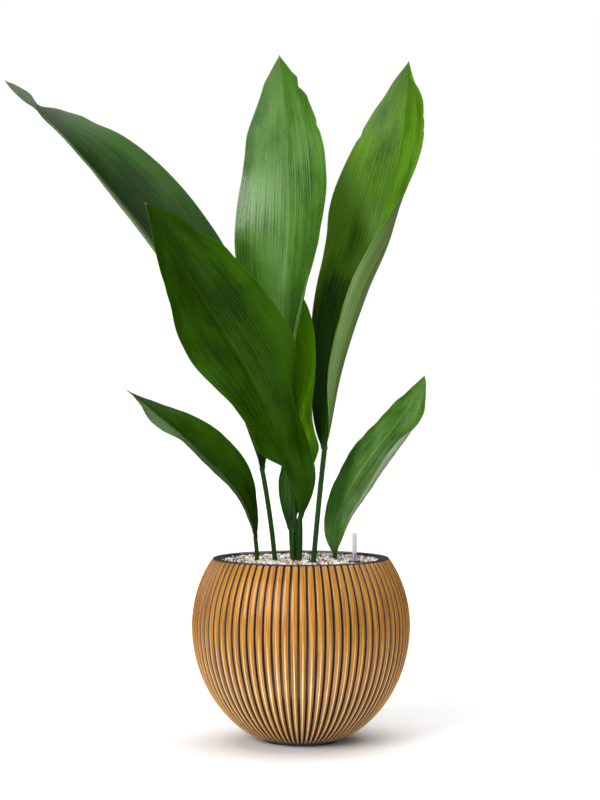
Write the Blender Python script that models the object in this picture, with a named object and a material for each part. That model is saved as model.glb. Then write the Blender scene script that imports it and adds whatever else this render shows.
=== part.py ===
"""Potted cast iron plant: seven strap leaves in a ribbed ball planter with a water gauge.

Units are metres, +Z is up, the origin is the centre of the planter's base on the floor,
and the plant's front faces -Y. The driving sizes below are in millimetres or degrees.
"""
import math
import random

import bmesh
import bpy
import numpy as np
from mathutils import Vector

MM = 0.001

# ---------------------------------------------------------------- planter
BELLY_RADIUS = 144.8          # crest of the ribs at the widest level
BELLY_LEVEL = 152.8
LOWER_HALF_HEIGHT = 163.1     # half axis of the ball below its widest level
UPPER_HALF_HEIGHT = 151.7     # half axis of the ball above its widest level
RIM_TOP = 242.4
RIM_INNER_RADIUS = 107.0
RIM_BAND_LEVEL = 240.3        # the plain band above the ribs starts here
RIM_BAND_SINK = 0.6
LIP_ROUNDING = 1.1
WALL = 9.8
FLOOR_TOP = 10.0
RIB_COUNT = 79
RIB_HEIGHT = 2.4
RIB_LEVELS = (7, 32, 68, 108, BELLY_LEVEL, 190, 218, 239.5)
INNER_LEVELS = (FLOOR_TOP, 35, 85, BELLY_LEVEL, 200, 236)
FIRST_RIB_ANGLE = math.radians(-89)

# ---------------------------------------------------------------- granule bed
FIT_GAP = 0.35                # clearance left between pieces that touch
BED_COLUMNS = 48
BED_TOP = 235.6
BED_BUMP = 0.7
BED_RINGS = 7
BED_WALL_GAP = 0.5            # the wall's facets and the bed's differ, so more than a fit gap
BED_SEED = 4
CUT_ABOVE = 6.0               # how far the cutters stand out of the bed

# ---------------------------------------------------------------- rhizome
RHIZOME_RADIUS = 6.0
RHIZOME_LEVEL = 203.5
RHIZOME_ROUTE = ((-76, -14), (-58, -6), (-32, 1), (-5, 2), (8, -18), (18, -36),
                 (34, -39), (45, -24), (48, -3), (46, 17), (40, 34))
RHIZOME_STATIONS = 26
RHIZOME_SIDES = 10
RHIZOME_END_SHARE = 0.45      # its ends round off from this share of the radius
RHIZOME_END_LENGTH = 9.0
FOOT_GAP = 0.5
FOOT_LEVEL = RHIZOME_LEVEL + RHIZOME_RADIUS + FOOT_GAP
SOCKET_STEP = 12.0
SOCKET_DEPTH = 3.0
SOCKET_GAP = 0.45             # the room left round a many-sided stalk
SOCKET_SIDES = 12

# ---------------------------------------------------------------- leaves
# Each leaf follows a midrib through a few points, from its foot on the rhizome to its tip.
# "petiole" is the stalk's length along the midrib. "half_width", "widest" (a share of the
# blade's length) and "fullness" shape the outline, which draws in to its tip over the
# share "point" and narrows at each of its "necks": (place, depth, spread), all shares.
# A half named in "late" only fills out beyond that share. The four lists turn each half
# blade about the midrib, at even steps from blade base to tip: 0 faces the front, 90
# points a half straight to the front and -90 straight back. A half starts at its first
# angle by the midrib and reaches its edge angle at the margin: past 90 it rolls over.
BLADE_THICKNESS = 1.0
MARGIN_THICKNESS = 0.6
TIP_HALF_WIDTH = 0.6
TIP_END_SIZE = 0.5            # radius of the midrib where it ends
POINT_SHARPNESS = 0.8
MIDRIB_DEPTH = (0.7, 0.4)     # below the blade: a share of the stalk's radius, and the tip's
MIDRIB_SPREAD = 3.0           # the midrib fades out over one part in this of a half blade
FLATTENING = 3.0              # the stalk is a flat blade once this many radii wide
STALK_FACE_ANGLE = 75         # degrees either side of straight front that its face covers
HALF_BLADE_STEPS = 24
LATE_SHARPNESS = 6
LATE_LEAST = 0.05             # of its full width, that a half has before it fills out
LEAVES = {
    "leaf_far_left": dict(
        midrib=((-32, 0, FOOT_LEVEL), (-41, 4, 294), (-60, 16, 394), (-119, 46, 547),
                (-203, 64, 674), (-289, 68, 775), (-356, 58, 845), (-401, 42, 884)),
        petiole=150, stalk_radius=3.2, half_width=78, widest=0.545, fullness=1.3, columns=3,
        point=0.02, necks=((0.916, 0.66, 0.022),),
        left=(80, 80, 79, 78, 76, 77, 83, 84, 70),
        left_edge=(80, 80, 86, 96, 104, 104, 97, 84, 70),
        right=(-50, -47, -32, -16, -6, -3, -16, -56, -60),
        right_edge=(-55, -52, -38, -22, -12, -9, -24, -64, -60)),
    "leaf_front_broad": dict(
        midrib=((-4.5, -6, FOOT_LEVEL), (-4, -18, 313), (-22, -36, 380), (-66, -62, 482),
                (-129, -92, 587), (-179, -118, 668), (-197, -130, 701)),
        petiole=84, stalk_radius=3.5, half_width=78, widest=0.52, fullness=1.5, columns=4,
        point=0.015, late={"left": 0.165},
        left=(-20, 20, 82, 60, 62, 59, 49, 41, 43, 50, 56, 64, 80),
        left_edge=(-20, 20, 86, 70, 72, 67, 58, 49, 51, 58, 63, 70, 82),
        right=(-40, -20, -40, -30, -5, 0, -2, 0, 4, -3, -12, -18, -20),
        right_edge=(-42, -24, -50, -95, -140, -62, -20, -18, -18, -22, -26, -26, -25)),
    "leaf_centre_tall": dict(
        midrib=((-3.5, 2, FOOT_LEVEL), (-11, 7, 332), (-19, 21, 452), (-23, 26, 585),
                (-17, 27, 693), (-19, 28, 801), (-29, 22, 915)),
        petiole=208, stalk_radius=2.6, half_width=74, widest=0.54, fullness=1.7, columns=3,
        point=0.012,
        left=(-50, -40, -30, -5, -14, -16, -22),
        left_edge=(-60, -50, -40, -10, -26, -28, -30),
        right=(65, 60, 40, 42, 34, 28, 40),
        right_edge=(110, 120, 120, 75, 55, 50, 55)),
    "leaf_right_tall": dict(
        midrib=((14, -36, FOOT_LEVEL), (22, -24, 300), (32, 0, 392), (44, 24, 492),
                (73, 44, 601), (109, 56, 690), (137, 64, 807), (147, 59, 914)),
        petiole=180, stalk_radius=3.4, half_width=84, widest=0.55, fullness=1.4, columns=5,
        point=0.04,
        left=(-45, -55, -49, -38, 0, -10, -28),
        left_edge=(-45, -57, -52, -41, -6, -18, -30),
        right=(60, 51, 47, 51, 66, 54, 50),
        right_edge=(90, 218, 235, 188, 95, 70, 60)),
    "leaf_back_centre": dict(
        midrib=((-9, 8, FOOT_LEVEL), (-14, 15, 291), (-12, 22, 351), (-3, 23, 432),
                (0, 28, 519), (-5, 38, 600)),
        petiole=68, stalk_radius=2.6, half_width=34, widest=0.55, fullness=1.3, columns=3,
        point=0.015,
        left=(-30, -32, -60, -50, -45, -40, -40),
        left_edge=(-32, -40, -65, -60, -55, -50, -50),
        right=(-30, -30, 26, 56, 50, 40, 34),
        right_edge=(-30, -30, 32, 62, 58, 46, 38)),
    "leaf_low_left": dict(
        midrib=((-59, -6, FOOT_LEVEL), (-62.5, -8, 279), (-78, -12, 322), (-128.5, -26, 380.5),
                (-174.5, -38, 423.5), (-228, -46, 465)),
        petiole=58, stalk_radius=2.8, half_width=42, widest=0.5, fullness=1.5, columns=3,
        point=0.06,
        left=(82, 84, 83, 82, 79, 54, 95),
        left_edge=(82, 84, 83, 82, 82, 60, 95),
        right=(-60, -52, -24, -20, -38, -60, -78),
        right_edge=(-60, -52, -28, -24, -42, -62, -78)),
    "leaf_low_right": dict(
        midrib=((46, 17, FOOT_LEVEL), (46, 17, 253), (58, 16, 317), (87, 12, 368),
                (122, 4, 413), (146, -4, 448), (164, -10, 484)),
        petiole=38, stalk_radius=3.1, half_width=43, widest=0.5, fullness=1.3, columns=5,
        point=0.015,
        left=(-20, -46, -54, -52, -55, -58, -68),
        left_edge=(-20, -54, -62, -60, -61, -62, -72),
        right=(50, 24, -10, -10, -10, 24, 40),
        right_edge=(90, 150, 170, 185, 190, 60, 50)),
}
STALK_STATIONS = 5
BLADE_STATIONS = 18

# ---------------------------------------------------------------- sheaths at the stalks' feet
DRY_SHEATH_LEAF = "leaf_right_tall"
DRY_SHEATH_TOP = 251
DRY_SHEATH_THICKNESS = 0.8
DRY_SHEATH_GAP = 0.5           # its inside follows a many-sided stalk
DRY_SHEATH_FACES = (150, 290)  # degrees round the stalk that the sheath covers
DRY_SHEATH_STEP = 6.5
DRY_SHEATH_NECK = 0.6          # it narrows to a point over the rest of its height
DRY_SHEATH_TRIM = 0.42
DRY_SHEATH_POINTS = 6
YOUNG_SHEATH_ROUTE = ((-10, -2.5, FOOT_LEVEL), (-10.5, -2.5, 250), (-12, -3.5, 292))
YOUNG_SHEATH_RADIUS = 2.15
YOUNG_SHEATH_TIP_RADIUS = 0.25
YOUNG_SHEATH_FLATNESS = 0.7
YOUNG_SHEATH_STATIONS = 8
YOUNG_SHEATH_SIDES = 8

# ---------------------------------------------------------------- water gauge
GAUGE_X = 70.6
GAUGE_Y = -21.0
GUIDE_FLOOR = 34.0
GUIDE_TOP = 235.0
GUIDE_OUTER = 5.4
GUIDE_INNER = 4.0
GUIDE_BASE = 2.0              # thickness of its closed foot
COLLAR_BOTTOM = 236.8
COLLAR_TOP = 239.8
COLLAR_RADIUS = 8.0
COLLAR_STEM = 3.0             # how far its stem reaches into the guide tube
CAP_TOP = 249.8
CAP_TOP_RADIUS = 4.0
CAP_BOTTOM_RADIUS = 7.7
SIGHT_BOTTOM = 240.15
SIGHT_TOP = 276.2
SIGHT_OUTER = 2.95
SIGHT_INNER = 2.15
SIGHT_CHAMFER = 0.8
SIGHT_ROOF = 1.4
FLOAT_BOTTOM = 36.3
FLOAT_TOP = 72.0
FLOAT_RADIUS = 3.5
FLOAT_CHAMFER = 0.8
FLOAT_SHOULDER = 2.0
ROD_RADIUS = 0.9
ROD_TOP = 244.0
TIP_TOP = 248.4
TIP_GAP = 0.3
TIP_RADIUS = 1.35
TIP_CHAMFER = 1.0
TIP_END_RADIUS = 0.6
GAUGE_SIDES = 20
FLOAT_SIDES = 12


# ---------------------------------------------------------------- shared helpers
def material(name, colour, roughness, metallic=0.0):
    mat = bpy.data.materials.new(name)
    mat.use_nodes = True
    shader = mat.node_tree.nodes["Principled BSDF"]
    shader.inputs["Base Color"].default_value = (*colour, 1.0)
    shader.inputs["Roughness"].default_value = roughness
    shader.inputs["Metallic"].default_value = metallic
    return mat


def add_object(name, verts, faces, mat, smooth_angle=40):
    """A mesh object from points in millimetres, facing out and shaded smooth."""
    mesh = bpy.data.meshes.new(name)
    mesh.from_pydata([tuple(c * MM for c in p) for p in verts], [], faces)
    bm = bmesh.new()
    bm.from_mesh(mesh)
    bmesh.ops.recalc_face_normals(bm, faces=bm.faces)
    bm.to_mesh(mesh)
    bm.free()
    obj = bpy.data.objects.new(name, mesh)
    bpy.context.scene.collection.objects.link(obj)
    if mat is not None:
        mesh.materials.append(mat)
    mesh.shade_smooth()
    mesh.set_sharp_from_angle(angle=math.radians(smooth_angle))
    return obj


def ring_faces(first, second, count):
    """Quads between two rings of points that start at these indices."""
    faces = []
    for i in range(count):
        j = (i + 1) % count
        faces.append((first + i, first + j, second + j, second + i))
    return faces


def turned(name, profile, sides, mat, centre=(0.0, 0.0), closed=False):
    """A solid turned about a vertical axis; its profile is a list of (radius, level).

    An open profile is capped flat at both ends; a closed one makes a hollow tube or ring.
    """
    verts = []
    for radius, level in profile:
        for i in range(sides):
            angle = 2 * math.pi * i / sides
            x = centre[0] + radius * math.cos(angle)
            y = centre[1] + radius * math.sin(angle)
            verts.append((x, y, level))
    faces = []
    for row in range(len(profile) - 1):
        faces += ring_faces(row * sides, (row + 1) * sides, sides)
    last = (len(profile) - 1) * sides
    if closed:
        faces += ring_faces(last, 0, sides)
    else:
        faces.append(tuple(range(sides)))
        faces.append(tuple(range(last, last + sides)))
    return add_object(name, verts, faces, mat)


def smooth_values(stations, values, wanted):
    """A smooth curve through values at stations, read at the wanted places."""
    stations = np.asarray(stations, float)
    values = np.asarray(values, float)
    if values.ndim == 1:
        return smooth_values(stations, values[:, None], wanted)[:, 0]
    steps = np.diff(stations)
    slopes = np.diff(values, axis=0) / steps[:, None]
    before, after = steps[:-1, None], steps[1:, None]
    tangents = np.empty_like(values)
    tangents[1:-1] = (slopes[:-1] * after + slopes[1:] * before) / (before + after)
    tangents[0] = (3 * slopes[0] - tangents[1]) / 2
    tangents[-1] = (3 * slopes[-1] - tangents[-2]) / 2
    span = np.clip(np.searchsorted(stations, wanted) - 1, 0, len(steps) - 1)
    width = steps[span][:, None]
    t = (np.asarray(wanted)[:, None] - stations[span][:, None]) / width
    start, end = values[span], values[span + 1]
    return ((2 * t**3 - 3 * t**2 + 1) * start + (t**3 - 2 * t**2 + t) * width * tangents[span]
            + (3 * t**2 - 2 * t**3) * end + (t**3 - t**2) * width * tangents[span + 1])


class Path:
    """A smooth route through a few points, read by the distance along it."""

    SAMPLES = 600

    def __init__(self, points):
        points = np.asarray(points, float)
        chords = np.linalg.norm(np.diff(points, axis=0), axis=1)
        stations = np.concatenate([[0], np.cumsum(chords)])
        self.points = smooth_values(stations, points, np.linspace(0, stations[-1], self.SAMPLES))
        lengths = np.linalg.norm(np.diff(self.points, axis=0), axis=1)
        self.distance = np.concatenate([[0], np.cumsum(lengths)])
        self.length = self.distance[-1]
        tangents = np.gradient(self.points, axis=0)
        self.tangents = tangents / np.linalg.norm(tangents, axis=1)[:, None]

    def at(self, distance):
        """The point and direction at a distance along the route."""
        point = [np.interp(distance, self.distance, self.points[:, k]) for k in range(3)]
        tangent = [np.interp(distance, self.distance, self.tangents[:, k]) for k in range(3)]
        return Vector(point), Vector(tangent).normalized()


def side_and_front(tangent):
    """The two directions across a route: to its right and to the plant's front."""
    side = tangent.cross(Vector((0, -1, 0))).normalized()
    return side, side.cross(tangent)


def loft(name, rings, mat, smooth_angle=40):
    """A solid through equal rings of points, with flat ends."""
    count = len(rings[0])
    verts = [p for ring in rings for p in ring]
    faces = [tuple(range(count))]
    for row in range(len(rings) - 1):
        faces += ring_faces(row * count, (row + 1) * count, count)
    faces.append(tuple(range((len(rings) - 1) * count, len(rings) * count)))
    return add_object(name, verts, faces, mat, smooth_angle)


# ---------------------------------------------------------------- planter
def ball_radius(level):
    """Radius of the rib crests at a level, in millimetres."""
    half = LOWER_HALF_HEIGHT if level < BELLY_LEVEL else UPPER_HALF_HEIGHT
    return BELLY_RADIUS * math.sqrt(1 - ((level - BELLY_LEVEL) / half) ** 2)


def inner_radius(level):
    return ball_radius(level) - WALL


def planter(mat):
    """The ribbed ball shell: ribs outside, a plain wall inside and a thick floor."""
    columns = 2 * RIB_COUNT
    lip = ball_radius(RIM_TOP)
    outside = [(ball_radius(0), 0, 0)]
    outside += [(ball_radius(level), level, RIB_HEIGHT) for level in RIB_LEVELS]
    outside += [(ball_radius(RIM_BAND_LEVEL) - RIM_BAND_SINK, RIM_BAND_LEVEL, 0),
                (lip, RIM_TOP - LIP_ROUNDING, 0), (lip - LIP_ROUNDING, RIM_TOP, 0)]
    inside = [(RIM_INNER_RADIUS + LIP_ROUNDING, RIM_TOP),
              (RIM_INNER_RADIUS, RIM_TOP - LIP_ROUNDING)]
    inside += [(inner_radius(level), level) for level in reversed(INNER_LEVELS)]
    verts = []
    for radius, level, rib in outside:
        for i in range(columns):
            angle = FIRST_RIB_ANGLE + math.pi * i / RIB_COUNT
            r = radius - rib * (i % 2)
            verts.append((r * math.cos(angle), r * math.sin(angle), level))
    inner_start = len(verts)
    for radius, level in inside:
        for i in range(RIB_COUNT):
            angle = FIRST_RIB_ANGLE + 2 * math.pi * i / RIB_COUNT
            verts.append((radius * math.cos(angle), radius * math.sin(angle), level))
    faces = [tuple(range(columns))]
    for row in range(len(outside) - 1):
        faces += ring_faces(row * columns, (row + 1) * columns, columns)
    faces += lip_faces((len(outside) - 1) * columns, inner_start)
    for row in range(len(inside) - 1):
        first = inner_start + row * RIB_COUNT
        faces += ring_faces(first, first + RIB_COUNT, RIB_COUNT)
    floor = inner_start + (len(inside) - 1) * RIB_COUNT
    faces.append(tuple(range(floor, floor + RIB_COUNT)))
    return add_object("planter", verts, faces, mat, smooth_angle=30)


def lip_faces(outer, inner):
    """Faces from the lip's outer ring to its inner ring, which has half as many points."""
    columns = 2 * RIB_COUNT
    faces = []
    for i in range(RIB_COUNT):
        near = inner + i
        far = inner + (i + 1) % RIB_COUNT
        a, b, c = outer + 2 * i, outer + 2 * i + 1, outer + (2 * i + 2) % columns
        faces += [(a, b, near), (b, far, near), (b, c, far)]
    return faces


# ---------------------------------------------------------------- granule bed
def granule_bed(mat, sockets):
    """The fill of granules, cut out round the rhizome, the stalks and the gauge."""
    levels = [FLOOR_TOP + FIT_GAP] + list(INNER_LEVELS[1:-1]) + [BED_TOP]
    rings = [(inner_radius(level) - BED_WALL_GAP, level) for level in levels]
    verts = []
    for radius, level in rings:
        verts += bed_ring(radius, level)
    faces = [tuple(range(BED_COLUMNS))]
    for row in range(len(rings) - 1):
        faces += ring_faces(row * BED_COLUMNS, (row + 1) * BED_COLUMNS, BED_COLUMNS)
    rng = random.Random(BED_SEED)
    edge = (len(rings) - 1) * BED_COLUMNS
    for ring in range(BED_RINGS - 1, 0, -1):
        first = len(verts)
        radius = rings[-1][0] * ring / BED_RINGS
        for x, y, z in bed_ring(radius, BED_TOP):
            verts.append((x, y, z + rng.uniform(-BED_BUMP, BED_BUMP)))
        faces += ring_faces(edge, first, BED_COLUMNS)
        edge = first
    verts.append((0, 0, BED_TOP))
    for i in range(BED_COLUMNS):
        faces.append((edge + i, edge + (i + 1) % BED_COLUMNS, len(verts) - 1))
    bed = add_object("granule_bed", verts, faces, mat, smooth_angle=20)
    for socket in sockets:
        cut = bed.modifiers.new(socket.name, "BOOLEAN")
        cut.operation = "DIFFERENCE"
        cut.solver = "EXACT"
        cut.object = socket
        socket.hide_render = True
        socket.display_type = "WIRE"
    return bed


def bed_ring(radius, level):
    points = []
    for i in range(BED_COLUMNS):
        angle = 2 * math.pi * i / BED_COLUMNS
        points.append((radius * math.cos(angle), radius * math.sin(angle), level))
    return points


# ---------------------------------------------------------------- rhizome and round stalks
def round_ring(point, tangent, radius):
    side, front = side_and_front(tangent)
    ring = []
    for i in range(SOCKET_SIDES):
        angle = 2 * math.pi * i / SOCKET_SIDES
        ring.append(point + side * radius * math.cos(angle) + front * radius * math.sin(angle))
    return ring


def rhizome(name, mat, grow=0.0):
    """The creeping stem in the bed that carries every stalk; grow makes its socket."""
    route = Path([(x, y, RHIZOME_LEVEL) for x, y in RHIZOME_ROUTE])
    rings = []
    for share in np.linspace(0, 1, RHIZOME_STATIONS):
        point, tangent = route.at(share * route.length)
        across = tangent.cross(Vector((0, 0, 1))).normalized()
        end = min(share, 1 - share) * route.length
        swell = min(1.0, RHIZOME_END_SHARE + end / RHIZOME_END_LENGTH)
        radius = RHIZOME_RADIUS * swell + grow
        reach = grow * (-1 if share == 0 else 1 if share == 1 else 0)
        ring = []
        for i in range(RHIZOME_SIDES):
            angle = 2 * math.pi * i / RHIZOME_SIDES
            offset = across * math.cos(angle) + Vector((0, 0, 1)) * math.sin(angle)
            ring.append(point + tangent * reach + offset * radius)
        rings.append(ring)
    return loft(name, rings, mat)


def stalk_socket(name, route, radius):
    """A cutter along the buried foot of a stalk."""
    rings = []
    distance = 0.0
    point, tangent = route.at(0)
    rings.append(round_ring(point - tangent * SOCKET_DEPTH, tangent, radius))
    while point.z < BED_TOP + CUT_ABOVE:
        distance += SOCKET_STEP
        point, tangent = route.at(distance)
        rings.append(round_ring(point, tangent, radius))
    return loft(name, rings, None)


# ---------------------------------------------------------------- leaves
def blade_width(leaf, share):
    """Half the blade's width at a share of its length."""
    widest = leaf["widest"]
    rise = (share / widest) ** widest
    fall = ((1 - share) / (1 - widest)) ** (1 - widest)
    width = leaf["half_width"] * (rise * fall) ** leaf["fullness"]
    width *= ((1 - share) / (1 - share + leaf["point"])) ** POINT_SHARPNESS
    for place, depth, spread in leaf.get("necks", ()):
        width *= 1 - depth * math.exp(-((share - place) / spread) ** 2)
    return width


def half_reach(leaf, half, share):
    """How much of its full width a half blade has at a share of the blade's length."""
    start = leaf.get("late", {}).get(half)
    if start is None:
        return 1.0
    return max(LATE_LEAST, 1 - math.exp(-((share / start) ** LATE_SHARPNESS)))


def half_blade(turn, edge, across):
    """Where the margin-ward point at this share across a half blade lies, and its slope.

    The half bends from the turn angle at the midrib to the edge angle at the margin.
    """
    x = y = 0.0
    step = across / HALF_BLADE_STEPS
    for i in range(HALF_BLADE_STEPS):
        t = (i + 0.5) * step
        angle = turn + (edge - turn) * t * t
        x += math.cos(angle) * step
        y += math.sin(angle) * step
    return x, y, turn + (edge - turn) * across * across


def leaf_ring(leaf, point, tangent, width, angles, share):
    """The closed outline of a leaf across its midrib: upper face, then lower face."""
    side, front = side_and_front(tangent)
    columns = leaf["columns"]
    radius = leaf["stalk_radius"] * (1 - share) + TIP_END_SIZE * share
    rib = MIDRIB_DEPTH[0] * leaf["stalk_radius"] * (1 - share) + MIDRIB_DEPTH[1]
    flat = min(1.0, width / (FLATTENING * radius))
    flat = flat * flat * (3 - 2 * flat)
    upper, lower = [], []
    for column in range(-columns, columns + 1):
        hand = 1 if column >= 0 else -1
        across = abs(column) / columns
        half_name = "right" if hand > 0 else "left"
        turn, edge = angles[half_name]
        reach = half_reach(leaf, half_name, share) * width
        x, y, slope = half_blade(turn, edge, across)
        half = 0.5 * (BLADE_THICKNESS + (MARGIN_THICKNESS - BLADE_THICKNESS) * across)
        ridge = rib * max(0.0, 1 - MIDRIB_SPREAD * across)
        around = math.radians(90 - STALK_FACE_ANGLE * column / columns)
        for points, up in ((upper, 1), (lower, -1)):
            depth = half + (ridge if up < 0 else 0.0)
            normal_x = -hand * math.sin(slope) * up * depth
            normal_y = math.cos(slope) * up * depth
            off_x = (1 - flat) * radius * math.cos(around) + flat * normal_x
            off_y = (1 - flat) * radius * math.sin(around) * up + flat * normal_y
            points.append(point + side * (hand * x * reach + off_x) + front * (y * reach + off_y))
    return upper + lower[::-1]


def leaf_angles(leaf, share):
    """The turn and edge angles of both halves at a share of the blade's length."""
    angles = {}
    for half in ("left", "right"):
        pair = []
        for values in (leaf[half], leaf[half + "_edge"]):
            stations = np.linspace(0, 1, len(values))
            pair.append(math.radians(smooth_values(stations, values, [share])[0]))
        angles[half] = pair
    return angles


def leaf_faces(rings, columns):
    """Faces of a leaf. Both sides of the thin blade are split along the same diagonals."""
    count = len(rings[0])
    faces = [tuple(range(count))]
    for row in range(len(rings) - 1):
        near, far = row * count, (row + 1) * count
        for i in range(2 * columns):
            j = i + 1
            under_i, under_j = count - 1 - i, count - 1 - j
            rising = (rings[row][i] - rings[row + 1][j]).length
            falling = (rings[row][j] - rings[row + 1][i]).length
            if rising < falling:
                faces += [(near + i, near + j, far + j), (near + i, far + j, far + i),
                          (near + under_i, far + under_j, near + under_j),
                          (near + under_i, far + under_i, far + under_j)]
            else:
                faces += [(near + i, near + j, far + i), (near + j, far + j, far + i),
                          (near + under_i, far + under_i, near + under_j),
                          (near + under_j, far + under_i, far + under_j)]
        right = 2 * columns
        faces.append((near + right, near + right + 1, far + right + 1, far + right))
        faces.append((near + count - 1, near, far, far + count - 1))
    faces.append(tuple(range((len(rings) - 1) * count, len(rings) * count)))
    return faces


def leaf(name, mat):
    """One leaf, grown as one piece: its stalk, the midrib and the blade."""
    spec = LEAVES[name]
    route = Path(spec["midrib"])
    rings = []
    for step in range(STALK_STATIONS):
        point, tangent = route.at(spec["petiole"] * step / STALK_STATIONS)
        rings.append(leaf_ring(spec, point, tangent, 0.0, leaf_angles(spec, 0), 0))
    blade = route.length - spec["petiole"]
    for step in range(BLADE_STATIONS + 1):
        share = 0.5 - 0.5 * math.cos(math.pi * step / BLADE_STATIONS)
        point, tangent = route.at(spec["petiole"] + blade * share)
        width = max(blade_width(spec, share), TIP_HALF_WIDTH * share)
        rings.append(leaf_ring(spec, point, tangent, width, leaf_angles(spec, share), share))
    verts = [p for ring in rings for p in ring]
    return add_object(name, verts, leaf_faces(rings, spec["columns"]), mat, smooth_angle=50)


# ---------------------------------------------------------------- sheaths
def dry_sheath(mat):
    """The dried bract that wraps the foot of one stalk."""
    spec = LEAVES[DRY_SHEATH_LEAF]
    route = Path(spec["midrib"])
    inner = spec["stalk_radius"] + DRY_SHEATH_GAP
    outer = inner + DRY_SHEATH_THICKNESS
    start, end = (math.radians(a) for a in DRY_SHEATH_FACES)
    rings = []
    distance = 0.0
    point, tangent = route.at(distance)
    while point.z < DRY_SHEATH_TOP:
        rise = (point.z - FOOT_LEVEL) / (DRY_SHEATH_TOP - FOOT_LEVEL)
        side, front = side_and_front(tangent)
        narrowing = max(0.0, rise - DRY_SHEATH_NECK) / (1 - DRY_SHEATH_NECK)
        trim = DRY_SHEATH_TRIM * (end - start) * narrowing
        angles = np.linspace(start + trim, end - trim, DRY_SHEATH_POINTS)
        ring = []
        for radius, order in ((outer, angles), (inner, angles[::-1])):
            for angle in order:
                ring.append(point + side * radius * math.cos(angle)
                            + front * radius * math.sin(angle))
        rings.append(ring)
        distance += DRY_SHEATH_STEP
        point, tangent = route.at(distance)
    return loft("dry_sheath", rings, mat)


def young_sheath(mat):
    """The pale pointed bract that stands among the middle stalks."""
    route = Path(YOUNG_SHEATH_ROUTE)
    rings = []
    for share in np.linspace(0, 1, YOUNG_SHEATH_STATIONS):
        point, tangent = route.at(share * route.length)
        taper = (YOUNG_SHEATH_RADIUS - YOUNG_SHEATH_TIP_RADIUS) * share**3
        radius = YOUNG_SHEATH_RADIUS - taper
        side, front = side_and_front(tangent)
        ring = []
        for i in range(YOUNG_SHEATH_SIDES):
            angle = 2 * math.pi * i / YOUNG_SHEATH_SIDES
            ring.append(point + side * radius * math.cos(angle)
                        + front * YOUNG_SHEATH_FLATNESS * radius * math.sin(angle))
        rings.append(ring)
    return loft("young_sheath", rings, mat)


# ---------------------------------------------------------------- water gauge
def gauge_fixed_parts(mats):
    """The guide tube in the bed, and the collar, cap and sight tube above it."""
    centre = (GAUGE_X, GAUGE_Y)
    guide = [(GUIDE_OUTER, GUIDE_FLOOR), (GUIDE_OUTER, GUIDE_TOP), (GUIDE_INNER, GUIDE_TOP),
             (GUIDE_INNER, GUIDE_FLOOR + GUIDE_BASE)]
    turned("gauge_guide_tube", guide, GAUGE_SIDES, mats["gauge_guide"], centre)
    stem = GUIDE_INNER - FIT_GAP
    collar = [(COLLAR_RADIUS, COLLAR_BOTTOM), (COLLAR_RADIUS, COLLAR_TOP),
              (SIGHT_INNER, COLLAR_TOP), (SIGHT_INNER, GUIDE_TOP - COLLAR_STEM),
              (stem, GUIDE_TOP - COLLAR_STEM), (stem, COLLAR_BOTTOM)]
    turned("gauge_collar", collar, GAUGE_SIDES, mats["gauge_collar"], centre, closed=True)
    socket = SIGHT_OUTER + FIT_GAP
    cap = [(CAP_BOTTOM_RADIUS, COLLAR_TOP + FIT_GAP), (CAP_TOP_RADIUS, CAP_TOP),
           (socket, CAP_TOP), (socket, COLLAR_TOP + FIT_GAP)]
    turned("gauge_cap", cap, GAUGE_SIDES, mats["gauge_cap"], centre, closed=True)
    sight = [(SIGHT_INNER, SIGHT_BOTTOM), (SIGHT_OUTER, SIGHT_BOTTOM),
             (SIGHT_OUTER, SIGHT_TOP - SIGHT_CHAMFER), (SIGHT_OUTER - SIGHT_CHAMFER, SIGHT_TOP)]
    roof = [(SIGHT_INNER, SIGHT_TOP - SIGHT_ROOF)]
    turned("gauge_sight_tube", roof + sight, GAUGE_SIDES, mats["gauge_sight"], centre)


def gauge_float(mats):
    """The float in the guide tube with its rod, and the red tip seen in the sight tube."""
    axis = bpy.data.objects.new("gauge_float_axis", None)
    axis.location = (GAUGE_X * MM, GAUGE_Y * MM, 0)
    bpy.context.scene.collection.objects.link(axis)
    rod = [(FLOAT_RADIUS - FLOAT_CHAMFER, FLOAT_BOTTOM),
           (FLOAT_RADIUS, FLOAT_BOTTOM + FLOAT_CHAMFER),
           (FLOAT_RADIUS, FLOAT_TOP - FLOAT_SHOULDER),
           (ROD_RADIUS, FLOAT_TOP), (ROD_RADIUS, ROD_TOP)]
    tip = [(TIP_RADIUS, ROD_TOP + TIP_GAP), (TIP_RADIUS, TIP_TOP - TIP_CHAMFER),
           (TIP_END_RADIUS, TIP_TOP)]
    for part in (turned("gauge_float_rod", rod, FLOAT_SIDES, mats["gauge_float"]),
                 turned("gauge_float_tip", tip, FLOAT_SIDES, mats["gauge_tip"])):
        part.parent = axis


def gauge_socket():
    """The cutter that leaves room in the bed for the gauge."""
    radius = GUIDE_OUTER + FIT_GAP
    profile = [(radius, GUIDE_FLOOR - FIT_GAP), (radius, BED_TOP + CUT_ABOVE)]
    return turned("gauge_socket", profile, GAUGE_SIDES, None, (GAUGE_X, GAUGE_Y))


# ---------------------------------------------------------------- build
def clear_scene():
    for obj in list(bpy.data.objects):
        bpy.data.objects.remove(obj, do_unlink=True)


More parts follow.
